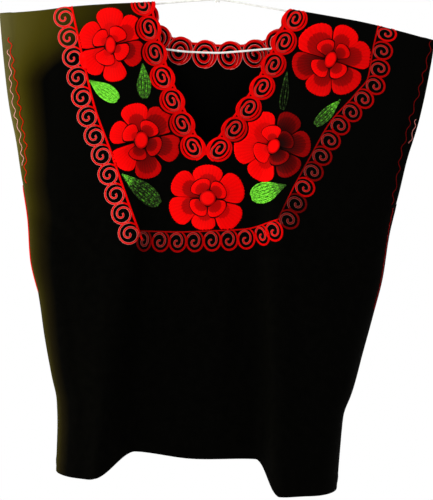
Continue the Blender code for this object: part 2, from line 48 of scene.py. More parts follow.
NECK_DROP = 112.0  # from the hook's inner top to the neck corners
WALL = 1.2
SEAM_GAP = 0.3
FOLD_RADIUS = 6.0
UNDERARM = 251.0
GAPE = ((0.0, 5.5), (0.5, 15.0), (0.85, 9.0), (1.0, 0.0))  # depth of an armhole's edge down its length
FOLD_SOFTNESS = 7.0
SECTION_SAMPLES = 700

# The hanging body's form, as in the solids
OUTLINE_COLUMNS = ("level", "left", "right")
OUTLINE = (
    (-20, -289, 290),
    (50, -279, 283),
    (100, -271, 276),
    (150, -262, 267),
    (200, -250, 255),
    (250, -241, 247),
    (300, -231, 238),
    (350, -225, 233),
    (400, -211, 223),
    (450, -201, 212),
    (500, -189, 201),
    (530, -181, 191),
    (570, -178, 189),
    (640, -177, 187),
)
FOLD_COLUMNS = (
    "level", "side_width", "side_depth", "crown_l", "crown_l_depth", "valley_l", "valley_l_depth",
    "mid_depth", "valley_r", "valley_r_depth", "crown_r", "crown_r_depth",
)
FRONT_FOLDS = (
    (-20, 40, 6, -150, 6, -90, 6, 6, 90, 6, 150, 6),
    (60, 58, 12, -140, 12.5, -90, 12, 12, 88, 12, 135, 12.5),
    (130, 66, 22, -125, 23, -85, 21, 22, 84, 21, 110, 24),
    (190, 68, 33, -110, 35, -80, 31, 33, 78, 31, 94, 37),
    (250, 62, 44, -98, 48, -75, 39, 43, 73, 39, 86, 51),
    (310, 58, 53, -92, 61, -72, 44, 49, 70, 43, 83, 65),
    (450, 52, 68, -108, 77, -74, 38, 44, 77, 36, 94, 80),
    (640, 45, 76, -124, 86, -76, 30, 35, 83, 28, 110, 89),
)
BACK_FOLDS = (
    (-20, 40, 6, -150, 6, -80, 6, 6, 84, 6, 150, 6),
    (60, 56, 10, -145, 10.5, -74, 10, 10, 80, 10, 148, 10.5),
    (130, 64, 18, -138, 20, -70, 17, 18, 76, 16, 140, 19),
    (250, 62, 38, -126, 43, -62, 31, 36, 70, 30, 134, 41),
    (310, 58, 47, -120, 53, -58, 35, 42, 68, 34, 130, 51),
    (450, 52, 60, -118, 68, -57, 33, 45, 67, 31, 127, 66),
    (640, 45, 68, -118, 77, -56, 28, 42, 68, 26, 125, 75),
)
SHOULDER_COLUMNS = ("x", "level")
SHOULDER = (
    (-290, 30), (-235, 23), (-185, 14.5), (-140, 9), (-90, 4),
    (0, -8), (90, 3), (140, 9), (190, 15.5), (235, 24), (290, 36),
)
# Levels of the two hems, by guide line
HEM_FRONT = (617, 617, 615, 585, 590, 587, 625, 624, 621)
HEM_BACK = (617, 611, 610, 589, 593, 589, 614, 614, 621)
# Guide lines run down the folds of a panel
GUIDES = ("edge_l", "side_l", "crown_l", "valley_l", "mid", "valley_r", "crown_r", "side_r", "edge_r")
LAST_GUIDE = len(GUIDES) - 1
# Cells of the cloth from one guide line to the next, and rows of cells down it
FINE_FRONT = (34, 26, 26, 18, 20, 26, 26, 34)
FINE_BACK = (32, 26, 22, 22, 22, 22, 26, 32)
FINE_ROWS = 190
FINE_FOLD_ANGLES = (0, 12, 24, 36, 48, 60, 75)  # rows round the shoulder fold, in degrees

# Creases: x and level of both ends, half width, and height (below zero is a trough)
FRONT_CREASES = (
    (-236, 262, -150, 338, 11, -2.2),
    (-232, 286, -168, 352, 9, 1.6),
    (-252, 70, -214, 236, 15, 2.2),
    (-222, 60, -204, 180, 10, -1.6),
    (-196, 300, -160, 560, 13, 2.4),
    (-178, 330, -136, 600, 10, -2.6),
    (-118, 340, -126, 520, 9, 1.3),
    (-40, 330, -44, 560, 12, 2.0),
    (-8, 340, -22, 500, 9, -1.7),
    (34, 330, 26, 585, 11, 1.8),
    (58, 350, 50, 480, 8, -1.2),
    (116, 320, 138, 600, 11, -2.4),
    (150, 300, 160, 520, 12, 2.2),
    (246, 262, 172, 346, 11, -2.4),
    (240, 292, 186, 356, 8, 1.5),
    (256, 76, 226, 230, 13, 2.1),
    (214, 150, 184, 262, 10, -1.7),
    (205, 330, 176, 590, 12, 1.8),
    (-150, 500, -158, 622, 8, 1.5),
    (168, 480, 150, 622, 8, -1.5),
)
BACK_CREASES = (
    (-238, 262, -160, 330, 11, -2.4),
    (-252, 80, -210, 240, 14, 2.1),
    (-226, 50, -196, 190, 10, -1.7),
    (-190, 310, -150, 590, 12, 2.3),
    (-160, 280, -120, 460, 10, -2.0),
    (-90, 120, -104, 330, 13, 1.9),
    (-88, 380, -84, 590, 9, -1.6),
    (-20, 110, -26, 330, 15, 2.1),
    (-2, 300, -10, 585, 11, 1.8),
    (28, 140, 34, 420, 12, -1.9),
    (88, 100, 108, 300, 13, 2.0),
    (96, 360, 92, 560, 9, -1.6),
    (242, 260, 166, 336, 11, -2.3),
    (256, 90, 214, 236, 13, 2.0),
    (212, 60, 190, 170, 10, -1.6),
    (196, 320, 164, 600, 12, 2.1),
    (150, 300, 146, 440, 9, -1.7),
)
CREASE_SWAY = (0.12, 5.0)  # how far a crease swings, as a share of its half width, and how often
CREASE_ROOM = (9.0, 22.0)  # creases die away this near to the sewn sides and to the shoulder fold
HEM_TURN = 15.0  # width of the turned armhole and bottom hems
HEM_STEP = 0.55
HEM_SOFTNESS = 1.6
UNDERARM_SOFTNESS = 8.0
EDGE_ROOM = 1.5  # nothing is sewn on nearer than this to a panel's edge
FOLD_ROOM = 0.4  # nor nearer than this to the shoulder fold

# Embroidered trims, as in the solids: name, scrolls, steps that the first one lacks, and path
STEPS_A_SCROLL = 6
RAIL_STEPS = 4  # points on a trim's edge for each step
NECK_TRIMS = (
    ("neck_trim_front_left", 7, 2, ((-97, 4), (-87, 38), (-70, 92), (-51, 133), (-22, 190), (-13, 206))),
    ("neck_trim_front_right", 7, 0, ((107, 4), (89, 48), (64, 108), (46, 140), (12, 193), (3, 206))),
)
BACK_TRIM = (
    "neck_trim_back", 8, 0,
    ((-97, 6), (-84, 36), (-60, 57), (-30, 63), (0, 64), (30, 63), (62, 57), (90, 36), (106, 6)),
)
BORDERS = (
    ("yoke_border_left", 13, 5,
     ((-202, 17), (-182, 88), (-163, 150), (-138, 208), (-113, 268), (-91, 320))),
    ("yoke_border_bottom", 9, 0, ((-85, 316), (-40, 315), (10, 311), (55, 306), (97, 291))),
    ("yoke_border_right", 13, 0,
     ((101, 290), (121, 243), (142, 200), (163, 159), (194, 120), (212, 93), (217, 55), (223, 22))),
)
NECK_MIDDLE = -4.0
NECK_DEPTH = 188.0
NECK_REACH = (15.5, 11.0)  # from a trim's path to its edge at a scroll's crest and between two scrolls
BORDER_REACH = (12.9, 8.0)
LINE_REACH = 13.0
PATH_SAMPLES = 240
LAY_DISTANCE = 400.0  # things are laid on the cloth from this far in front of it
CUT_TOP = -60.0  # the neck's cut is open upwards to this level, past the shoulder fold
CUT_POINT = 1.0  # the front's cut ends in a point this far under the neck's depth
POINT_ROOM = 4.0  # its scallops stop this far over that depth

# Each flower: centre, its middle's half width, half height and tilt, its outer petals and its inner ones.
# A petal has the way it points (degrees, 90 is up), the angle it spans, its reach, and how much of it is
# dark and how dark
# The dark zones are partly darker thread and partly painted shade, deepest on the second and fourth flowers,
# whose petals lie on folds turned away from the light
ROSES = (
    (-135, 65, (6.5, 11.5, 4), (
        (95, 54, 49.5, 0.20, 0.15), (43, 54, 50, 0.45, 0.40), (-16, 62, 44, 0.50, 0.80),
        (-78, 48, 48, 0.25, 0.15), (-134, 64, 46, 0.20, 0.12), (157, 70, 43, 0.20, 0.12)),
     ((148, 84, 24, 0.3, 0.2), (62, 74, 26, 0.3, 0.25),
      (-28, 80, 25, 0.35, 0.35), (-108, 78, 27, 0.3, 0.15))),
    (-88, 187, (8.5, 11, 0), (
        (107, 54, 49, 0.42, 0.5), (50, 64, 50, 0.62, 0.8), (-12, 54, 51, 0.60, 0.85),
        (-73, 52, 50, 0.75, 0.8), (-128, 60, 45, 0.2, 0.12), (164, 58, 41, 0.2, 0.12)),
     ((60, 78, 27, 0.68, 0.6), (-22, 78, 27, 0.7, 0.8), (-100, 70, 26, 0.7, 0.75), (150, 80, 25, 0.3, 0.25))),
    (1, 257, (10, 9.7, 0), (
        (93, 70, 43, 0.42, 0.42), (25, 66, 48, 0.2, 0.15), (-38, 58, 50, 0.32, 0.35),
        (-97, 58, 41, 0.38, 0.4), (-153, 56, 51, 0.38, 0.5), (153, 54, 50, 0.42, 0.55)),
     ((124, 84, 26, 0.7, 0.4), (40, 80, 25, 0.7, 0.45), (-46, 84, 26, 0.7, 0.45), (-132, 86, 25, 0.66, 0.4))),
    (82, 186, (7.5, 10, -22), (
        (126, 74, 48, 0.4, 0.22), (61, 48, 49, 0.75, 1.15), (8, 56, 47, 0.72, 1.05),
        (-52, 60, 44, 0.8, 1.1), (-115, 58, 48, 0.3, 0.3), (-172, 58, 51, 0.15, 0.1)),
     ((102, 76, 27, 0.4, 0.4), (30, 76, 26, 0.9, 1.2), (-62, 84, 25, 0.8, 1.05), (-150, 84, 27, 0.2, 0.15))),
    (150, 69, (7, 11, -20), (
        (127, 78, 51, 0.55, 0.55), (61, 52, 50, 0.5, 0.55), (12, 54, 53, 0.55, 0.65),
        (-52, 68, 49, 0.58, 0.7), (-112, 52, 50, 0.5, 0.65), (-165, 58, 50, 0.78, 0.85)),
     ((112, 70, 27, 0.7, 0.6), (38, 62, 27, 0.72, 0.65), (-54, 76, 26, 0.66, 0.55),
      (-140, 80, 27, 0.62, 0.55))),
)
PETALS_ACROSS = 34
PETAL_ROWS_DARK = 8
PETAL_ROWS_BRIGHT = 11
PETAL_EDGE = 0.014  # half the width of the turn from dark to bright, as a share of the petal
PETAL_DARKEST = 0.66
RIM_BRIGHT = 0.5  # up to this depth of the dark zone a rim is bright, past it the rim darkens as well
RIM_DARKER = 0.8
PETAL_SHOULDER = 0.73  # how far out a petal's sides go before its rim turns
PETAL_ROUND = 2.7
# Waves across a petal: their height as a share, how many, and how far its direction shifts them
RIM_WAVES = ((0.008, 61, 1), (0.006, 37, 2))
ZONE_WAVES = ((0.02, 47, 1), (0.015, 83, 0))
STRAND_WAVES = (0.03, 29)  # how much darker some of its strands are, and how many
ZONE_BOW = 0.16  # how much nearer the dark zone ends at a petal's sides
ZONE_SHADING = (1.1, 0.8)  # how dark the zone is at its two ends
ZONE_BASE = 0.14  # how much darker again a petal is at its base
PETAL_DROP = (0.75, 0.7)  # the share of its swell that a petal loses at its sides and at its rim
LEAST_TONE = 0.1
CLEAR_STEPS = 30
CLEAR_SHARE = 0.98
# Layers of petals: where they start, the gap between two, height at the base, how far they swell, the share
# hidden under the layer above, and how much larger they are. A larger one is a dark shadow under its petal
OUTER_LAYER = (9.0, 1.1, 0.7, 0.8, 0.4, 0.0)
SHADOW_LAYER = (4.0, 1.4, 1.3, 0.45, 0.2, 1.4)
INNER_LAYER = (4.0, 1.4, 1.5, 0.8, 0.25, 0.0)
SHADOW_TONE = -0.2
# The raised middle's shadow and the middle itself: height, swell, how much larger, and tone
HEART_LAYERS = ((2.1, 0.3, 1.4, SHADOW_TONE), (2.2, 0.8, 0.0, 0.95))
HEART_RINGS = 9
HEART_SPOKES = 41
HEART_DROP = 0.85
HEART_RIM = (0.86, 0.25)  # where its darker rim starts, and how much darker that is
PAD_CLEARANCE = 0.1  # an embroidered patch starts this far off the cloth
PAD_THINNEST = 0.2

# Leaves: tip, round end, width, how bright at the tip and at the end, where along it that changes, how many
# rows of stitches fill it, and how speckled they are
LEAVES = (
    (-160, 112, -121, 136, 22, 1.26, 1.24, 0.5, 15, 0.3),
    (-92, 86, -87, 132, 19, 1.06, 0.94, 0.5, 11, 0.5),
    (-110, 231, -60, 268, 25, 1.6, 0.84, 0.24, 16, 0.7),
    (100, 235, 56, 252, 28, 0.8, 1.36, 0.32, 17, 0.4),
    (165, 120, 134, 156, 16, 1.2, 0.84, 0.45, 9, 0.5),
    (95, 86, 91, 138, 13, 0.68, 0.6, 0.5, 4, 0.9),
)
LEAF_CHANGE = 0.25  # half the share of a leaf over which its tone changes
LEAF_SAMPLES = 90
LEAF_ENDS = (0.015, 0.99)
LEAF_POINTED = 1.25
LEAF_ROUND = 2.3
LEAF_FILL = 0.94  # share of a leaf's width that its rows fill
LEAF_SWAY = (0.3, 9.0, 2.1)  # how far its rows swing, how often, and how differently from each other
LEAF_WIDEST = 0.66
LEAF_STIPPLE = 75.0
LEAF_STREAK = 0.32
LEAF_STITCH = (0.85, 0.6)
OPEN_ROWS = 5  # a leaf with no more rows than this starts every other row further from its tip
OPEN_START = 12

THREAD_ROUND = 3.0  # how much of the stitch pattern goes round a strand
STRAND_SHIFT = (0.37, 50.0)  # the pattern starts elsewhere on each strand: by its number, and at most
STITCH_STEP = 1.15
STITCH_LIFT = 0.25
NECK_TUCK = 0.4  # the cut edge of the neck lies under its outermost row of stitches
BAND_HEIGHT = 0.62  # half height of a row of stitches
BAND_OVERLAP = 1.12
# A coil winds inwards: angle from its inner side, radius as a share, and half width of the band
COIL_STEP = 3  # degrees
NECK_COIL = (
    (-104, 1.03, 1.5), (-70, 0.97, 1.9), (-35, 0.9, 2.3), (0, 0.85, 2.6), (40, 0.87, 2.3), (90, 0.89, 1.6),
    (140, 0.79, 1.45), (180, 0.7, 1.4), (225, 0.74, 1.3), (270, 0.8, 1.2), (315, 0.61, 1.15),
    (360, 0.43, 1.2), (405, 0.5, 1.15), (450, 0.57, 1.1), (495, 0.46, 1.25), (540, 0.36, 1.3),
    (585, 0.37, 1.3), (630, 0.34, 1.25), (690, 0.15, 1.3), (760, 0.17, 1.2), (800, 0.2, 1.0),
)
INSIDE_COIL = (
    (-180, 0.92, 1.5), (0, 0.92, 1.7), (150, 0.92, 1.5), (195, 0.84, 1.3), (240, 0.68, 1.3), (300, 0.58, 1.4),
    (420, 0.57, 1.4), (540, 0.56, 1.4), (600, 0.42, 1.4), (650, 0.25, 1.5), (760, 0.2, 1.6), (880, 0.12, 1.3),
)
INSIDE_DROP = 3.0  # on the inside the scrolls reach this much lower
# The rows along the neck's cut edge: how far from it, half their spacing, half width and tone
RIM_ROWS = (1.7, 0.7, 0.77, 0.9)
NECK_TAIL = ((105, 1.01, 0.8), (150, 0.98, 1.2), (200, 0.96, 1.4), (250, 0.97, 1.3), (290, 1.0, 0.8))
BORDER_COIL = (
    (28, 1.1, 0.8), (60, 1.07, 1.0), (95, 1.01, 1.1), (140, 0.95, 1.2), (180, 0.92, 1.2), (270, 0.91, 1.2),
    (320, 0.89, 1.2), (360, 0.83, 1.2), (410, 0.67, 1.15), (450, 0.53, 1.15), (500, 0.45, 1.15),
    (540, 0.43, 1.15), (590, 0.39, 1.15), (640, 0.3, 1.15), (700, 0.16, 1.1), (740, 0.12, 1.0),
)
LINE_ROW = 0.55  # half height of a row of the straight line
# Pale stitches along a band's edges: their size, how far out they lie as a share of its half width, their
# lift, and for the neck's scrolls their tone and first angle
PALE_ROW = (0.24, 0.22)
PALE_PLACE = 0.92
PALE_LIFT = 0.55
PALE_NECK = (0.42, 230)
PALE_INSIDE = (0.95, -180)
NECK_TONE = 0.93
NECK_TONE_STEP = 0.05  # two scrolls in three are darker, by one and two of these
TAIL_TONE = 0.9  # the thin band and the inside are darker by these shares
INSIDE_TONE = 0.95
# The borders: which way their scrolls wind, the tone of each, half the width of the straight line, and the
# tone and first angle of the pale stitches
# The low tones of the bottom and right borders and of their pale stitches are painted shade, where they lie
# in the folds' valleys and on the side turned away from the light
BORDER_LOOKS = (
    (-1, (0.96,) * 13, 1.25, (0.75, 60)),
    (1, (0.44, 0.60, 0.66, 0.68, 0.72, 0.74, 0.86, 0.92, 0.90), 0.8, (0.35, 300)),
    (1, (0.44, 0.40, 0.78, 0.50, 0.52, 0.60, 0.64, 0.66, 0.68, 0.68, 0.70, 0.72, 0.82), 0.8, (0.3, 300)),
)
BORDER_TONE_STEP = 0.02  # three scrolls in four are darker, by one to three of these
TAKEN_SCROLL = 18.6  # petals stay this far from the middle of a neck scroll
TAKEN_LINE = 1.9  # and this far from a border's straight line
TAKEN_STEP = 4.0

# Wavy rows that hold the armhole hems: colour, tone, half width, half swing, length of a wave, and path
ZIGZAGS = (
    ("red", 0.82, 0.5, 1.7, 16.5,
     ((-267, 61), (-257, 107), (-251, 133), (-243, 171), (-236, 205), (-235, 249))),
    ("pale", 0.95, 0.42, 1.5, 16.5,
     ((-267, 77), (-263, 102), (-259, 134), (-251, 167), (-245, 188), (-239, 226))),
    ("red", 0.44, 0.38, 1.7, 20.0,
     ((280, 36), (273, 74), (264, 110), (255, 146), (246, 189), (242, 224), (238, 252))),
    ("pale", 0.7, 0.36, 1.3, 14.0, ((264, 140), (261, 155), (257, 172))),
)
ZIGZAG_HEIGHT = 0.42
ZIGZAG_SAMPLES = 200
UNEVEN_TURNS = (0.5, 0.37)  # how uneven the waves are in length and in swing, and how often that changes
UNEVEN_SWING = (0.3, 0.61)
# Cords of stitches on the side seams: side, colour, levels of its ends, radius, tone
SEAMS = (
    (-1, "red", 251, 390, 1.15, 0.86),
    (1, "black", 250, 616, 0.9, 0.5),
    (-1, "black", 386, 612, 0.9, 0.5),
)
SEAM_ROWS = ("red", 0.6, 0.5, 0.5, 9.0, ((240.5, 256), (234.8, 300), (229.5, 350), (221.8, 388)))
WHIP_PITCH = 2.2  # between two turns of the strand round a cord
WHIP_STRAND = 0.42
WHIP_FINE = 7
WHIP_CORE_STEP = 6
WHIP_TAPER = 7.0
WHIP_END = 0.25  # share of its radius that a cord has left at its ends
WHIP_OUT = 0.35  # share of its radius that a cord stands out from the cloth's edge
WHIP_SEAT = 0.85  # the strand's middle, as a share of the cord's radius

# The hanger, as in its solids
FORWARDS = (0.0, -1.0, 0.0)
WIRE_RADIUS = 1.3
SOLID_WALL = 1.4
HOOK_RADIUS = 20.0
HOOK_SWEEP = (200, 0)  # degrees
BAR = ((-232, 58), (-150, 61.5), (-62, 64.5), (-19, 66.5), (33, 62), (69, 57), (150, 50), (232, 47))
ARM_END = 232.0
APEX_LEVEL = -12.0
COLLAR_LENGTH = 22.0
COLLAR_RADIUS = 3.0
COLLAR_TURNS = 2.5
COLLAR_SAMPLES = 90
HOOK_NECK = ((17.5, 10), (9, 19), (2, 27), (0, 36), (0, 50))  # from the hook's centre down to the collar
ARM_PLACES = (45, 90, 115, 140, 165, 190, 212)
STRAIGHT_ARM = 90.0  # up to here an arm leaves the collar straight, then it follows the shoulder
WIRE_STEP = 1.5

# Colours from the darkest to the brightest tone
RED_STOPS = (
    (0.0, (0.002, 0.0, 0.0)), (0.1, (0.010, 0.0, 0.0)), (0.25, (0.05, 0.0, 0.0)), (0.4, (0.13, 0.0, 0.0)),
    (0.65, (0.36, 0.0, 0.0)), (1.0, (0.84, 0.0, 0.0)),
)
PALE_STOPS = ((0.0, (0.10, 0.03, 0.03)), (0.6, (0.45, 0.12, 0.10)), (1.0, (0.72, 0.36, 0.33)))
GREEN_STOPS = (
    (0.0, (0.001, 0.002, 0.001)), (0.3, (0.010, 0.018, 0.005)), (0.5, (0.025, 0.068, 0.010)),
    (0.65, (0.045, 0.17, 0.014)), (0.85, (0.100, 0.46, 0.020)), (1.0, (0.18, 0.74, 0.040)),
)
# Painted light: the left flank is coloured as if lit by the light from the left. Its colours from the seam
# inwards, and how wide and how strong the painted light is down the panel (from and to, in millimetres of
# cloth, then the two values)
PAINTED_FLANK_LIGHT_STOPS = (
    (0.0, (0.076, 0.067, 0.024)), (0.12, (0.056, 0.048, 0.008)), (0.28, (0.040, 0.033, 0.003)),
    (0.5, (0.022, 0.018, 0.0015)), (0.72, (0.0095, 0.0070, 0.0012)), (1.0, (0.0010, 0.0010, 0.0008)),
)
PAINTED_LIGHT_WIDTH = (0.0, 105.0, 215.0, 50.0)
PAINTED_LIGHT_WIDENING = (150.0, 330.0, 0.0, 16.0)
PAINTED_LIGHT_STRENGTH = (140.0, 300.0, 1.0, 0.5)
BLACK_STOPS = ((0.0, (0.0008, 0.0008, 0.0007)), (1.0, (0.003, 0.003, 0.0025)))
COTTON_STOPS = ((0.3, (0.0004, 0.0004, 0.0003)), (0.75, (0.0014, 0.0013, 0.001)))
COATING_STOPS = ((0.35, (0.58, 0.58, 0.56)), (0.7, (0.76, 0.76, 0.74)))

CAMERA_PLACE = (0.0156, -1.9, -0.434)
CAMERA_LENS = 105.0
CAMERA_SENSOR = 36.0
CAMERA_ROLL = -3.0
# Lamps: name, place, size, power and colour
LAMPS = (
    ("key", (-1.3, -1.8, 0.4), 1.0, 16.0, (1.0, 1.0, 1.0)),
    ("side", (-2.0, -0.35, -0.1), 0.8, 42.0, (1.0, 0.96, 0.80)),
    ("back", (0.5, 2.0, 0.3), 1.2, 8.0, (1.0, 1.0, 1.0)),
)
LAMP_AIM = (0.0, 0.0, -0.4)
FLOOR_LEVEL = -1.25
FLOOR_HALF = 2.2


def smooth_curve(knots, values, at):
    """Monotone cubic through the knots: it never overshoots between two of them."""
    knots, values = np.asarray(knots, float), np.asarray(values, float)
    at = np.clip(np.asarray(at, float), knots[0], knots[-1])
    steps = np.diff(knots)
    slopes = np.diff(values) / steps
    tangents = np.zeros(len(knots))
    tangents[0], tangents[-1] = slopes[0], slopes[-1]
    same_way = slopes[:-1] * slopes[1:] > 0
    inner = np.zeros(len(slopes) - 1)
    first = 2 * steps[1:] + steps[:-1]
    second = steps[1:] + 2 * steps[:-1]
    safe = np.where(same_way)[0]
    inner[safe] = (first + second)[safe] / (first[safe] / slopes[:-1][safe] + second[safe] / slopes[1:][safe])
    tangents[1:-1] = inner
    cell = np.clip(np.searchsorted(knots, at, side="right") - 1, 0, len(steps) - 1)
    share = (at - knots[cell]) / steps[cell]
    near = (1 + 2 * share) * (1 - share) ** 2
    far = share**2 * (3 - 2 * share)
    return (
        values[cell] * near
        + values[cell + 1] * far
        + steps[cell] * tangents[cell] * share * (1 - share) ** 2
        - steps[cell] * tangents[cell + 1] * share**2 * (1 - share)
    )


def column(table, columns, name, at):
    index = columns.index(name)
    return smooth_curve([row[0] for row in table], [row[index] for row in table], at)


def shoulder_level(x):
    return column(SHOULDER, SHOULDER_COLUMNS, "level", x)


def unit(vectors):
    return vectors / np.maximum(np.linalg.norm(vectors, axis=-1, keepdims=True), 1e-9)


def lengths(points, axis=0):
    """How far each point is along a line, or along the rows or columns of a grid."""
    steps = np.linalg.norm(np.diff(points, axis=axis), axis=-1)
    return np.concatenate([np.zeros_like(steps.take([0], axis)), np.cumsum(steps, axis=axis)], axis=axis)


def follow(path, count):
    """Places along a smooth curve through a path's points."""
    path = np.array(path, float)
    along = lengths(path)
    at = np.linspace(0, along[-1], count)
    return np.stack([smooth_curve(along, path[:, i], at) for i in (0, 1)], axis=1)


def spaced(line, along, count):
    """Places evenly far apart on a line, by how far along each of its points is."""
    even = np.linspace(0, along[-1], count)
    return np.stack([np.interp(even, along, line[:, i]) for i in (0, 1)], axis=1)


def headings(places):
    """The ways ahead and to the side at each place of a line."""
    ahead = unit(np.gradient(places, axis=0))
    return ahead, np.stack([-ahead[:, 1], ahead[:, 0]], axis=1)


def guide_x(folds, name, level):
    if name == "mid":
        return 0.0 * level
    where, side = name.split("_")
    edge = column(OUTLINE, OUTLINE_COLUMNS, "left" if side == "l" else "right", level)
    if where == "edge":
        return edge
    if where == "side":
        inwards = 1 if side == "l" else -1
        return edge + inwards * column(folds, FOLD_COLUMNS, "side_width", level)
    return column(folds, FOLD_COLUMNS, name, level)


def guide_depth(folds, name, level):
    where = name.split("_")[0]
    if where == "edge":
        tip = shoulder_level(guide_x(folds, name, level))
        return smooth_curve(*zip(*GAPE), (level - tip) / (UNDERARM - tip))
    return column(folds, FOLD_COLUMNS, "side_depth" if where == "side" else name + "_depth", level)


def guide_places(cells):
    """Where each column of the cloth is between the guide lines."""
    return np.concatenate([guide + np.arange(n) / n for guide, n in enumerate(cells)] + [[LAST_GUIDE]])


def softened(x, out):
    """A section with its corners rounded over a short way along the cloth, its two edges kept."""
    length = lengths(np.stack([x, out], axis=1))
    even = np.linspace(0, length[-1], SECTION_SAMPLES)
    step = length[-1] / SECTION_SAMPLES
    reach = max(3, int(2.5 * FOLD_SOFTNESS / step))
    weights = np.exp(-0.5 * (np.arange(-reach, reach + 1) * step / FOLD_SOFTNESS) ** 2)
    weights /= weights.sum()
    result = []
    for values in (x, out):
        line = np.interp(even, length, values)
        before = 2 * line[0] - line[reach:0:-1]
        after = 2 * line[-1] - line[-2:-2 - reach:-1]
        blurred = np.convolve(np.concatenate([before, line, after]), weights, mode="valid")
        result.append(np.interp(length, even, blurred))
    return result


def section(folds, levels, places):
    """Points across the cloth through one level on each guide line: x, depth and level."""
    x = np.array([float(guide_x(folds, name, level)) for name, level in zip(GUIDES, levels)])
    depth = np.array([float(guide_depth(folds, name, level)) for name, level in zip(GUIDES, levels)])
    across = np.interp(places, range(len(GUIDES)), x)
    out = smooth_curve(x[1:LAST_GUIDE], depth[1:LAST_GUIDE], across)
    for edge, side in ((0, 1), (LAST_GUIDE, LAST_GUIDE - 1)):
        near = np.abs(places - edge) < 1
        angle = np.abs(places[near] - edge) * math.pi / 2
        across[near] = x[side] + (x[edge] - x[side]) * np.cos(angle)
        out[near] = depth[edge] + (depth[side] - depth[edge]) * np.sin(angle)
    across, out = softened(across, out)
    return across, out, smooth_curve(range(len(GUIDES)), levels, places)


def cloth_points(folds, hem, cells, facing):
    """The outer face of a panel as rows of points, from the shoulder fold down to the hem."""
    starts = np.array([float(shoulder_level(guide_x(folds, name, 20.0))) for name in GUIDES])
    shares = np.arange(FINE_ROWS + 1) / FINE_ROWS
    drops = [np.full(len(GUIDES), FOLD_RADIUS * (1 - math.cos(math.radians(a)))) for a in FINE_FOLD_ANGLES]
    parts = [0.0] * len(drops) + list(shares)
    drops += [FOLD_RADIUS + share * (np.array(hem) - starts - FOLD_RADIUS) for share in shares]
    places = guide_places(cells)
    plain_starts = smooth_curve(range(len(GUIDES)), starts, places)
    grid = []
    for drop, part in zip(drops, parts):
        across, out, down = section(folds, starts + drop, places)
        down = down + (1 - part) * (shoulder_level(across) - plain_starts)
        below = np.clip(smooth_curve(range(len(GUIDES)), drop, places) / FOLD_RADIUS, 0, 1)
        out = out * np.sqrt(1 - (1 - below) ** 2) + SEAM_GAP / 2
        grid.append(np.stack([across, facing * out, -(NECK_DROP + down)], axis=1))
    return np.array(grid)


def grid_normals(grid, facing):
    """Outward normals of a grid of points, square to the mid plane where two panels are sewn together."""
    normals = unit(np.cross(np.gradient(grid, axis=1), np.gradient(grid, axis=0)))
    if normals[:, :, 1].mean() * facing < 0:
        normals = -normals
    normals[np.abs(grid[:, :, 1]) < SEAM_GAP, 1] = 0
    return unit(normals)


def crease_relief(grid, creases):
    """How far the creases move each point of the cloth outwards. They die away at its sewn edges."""
    x, level = grid[:, :, 0], -grid[:, :, 2] - NECK_DROP
    relief = np.zeros(x.shape)
    swing, turns = CREASE_SWAY
    for x0, level0, x1, level1, half_width, height in creases:
        run = np.array([x1 - x0, level1 - level0], float)
        length = np.linalg.norm(run)
        run /= length
        along = ((x - x0) * run[0] + (level - level0) * run[1]) / length
        sway = swing * half_width * np.sin(along * turns + x0)
        off = ((x - x0) * -run[1] + (level - level0) * run[0] + sway) / half_width
        fade = np.clip(1 - np.abs(2 * along - 1) ** 2.4, 0, 1)
        relief += height * fade * np.exp(-(off**2))
    for away, room in zip((from_sides(grid), lengths(grid)), CREASE_ROOM):
        relief *= 1 - np.exp(-((away / room) ** 2))
    return relief


def from_sides(grid):
    """How far each point is along the cloth from the nearer side edge."""
    from_left = lengths(grid, 1)
    return np.minimum(from_left, from_left[:, -1:] - from_left)


def hem_relief(grid):
    """The turned hems of the armholes and the bottom stand a little proud."""
    level = -grid[:, :, 2] - NECK_DROP
    open_side = (1 - np.tanh((level - UNDERARM) / UNDERARM_SOFTNESS)) / 2
    sides, bottom = (
        HEM_STEP * (1 - np.tanh((away - HEM_TURN) / HEM_SOFTNESS)) / 2
        for away in (from_sides(grid), lengths(grid[::-1])[::-1])
    )
    return sides * open_side + bottom


def inside_polygon(points, outline):
    """Whether each point is inside an outline."""
    x, y = points[:, 0], points[:, 1]
    inside = np.zeros(len(points), bool)
    for (x0, y0), (x1, y1) in zip(outline, outline[1:] + outline[:1]):
        if y0 != y1:
            inside ^= ((y0 > y) != (y1 > y)) & (x < (x1 - x0) * (y - y0) / (y1 - y0) + x0)
    return inside


def nearest_on_outline(points, outline):
    """The nearest place on an outline to each point."""
    best = np.full(len(points), np.inf)
    place = points.copy()
    for start, end in zip(outline, outline[1:] + outline[:1]):
        start, run = np.array(start, float), np.subtract(end, start)
        share = np.clip((points - start) @ run / (run @ run), 0, 1)
        foot = start + share[:, None] * run
        distance = np.linalg.norm(points - foot, axis=1)
        closer = distance < best
        best[closer] = distance[closer]
        place[closer] = foot[closer]
    return place


def quads(rows, columns, closed=False):
    """The faces of a grid, as an array of four corners each."""
    r, c = np.meshgrid(np.arange(rows - 1), np.arange(columns if closed else columns - 1), indexing="ij")
    r, c = r.ravel() * columns, c.ravel()
    after = (c + 1) % columns
    return np.stack([r + c, r + after, r + columns + after, r + columns + c], axis=1)


def add_object(name, data):
    """A new object in the scene."""
    made = bpy.data.objects.new(name, data)
    bpy.context.scene.collection.objects.link(made)
    return made


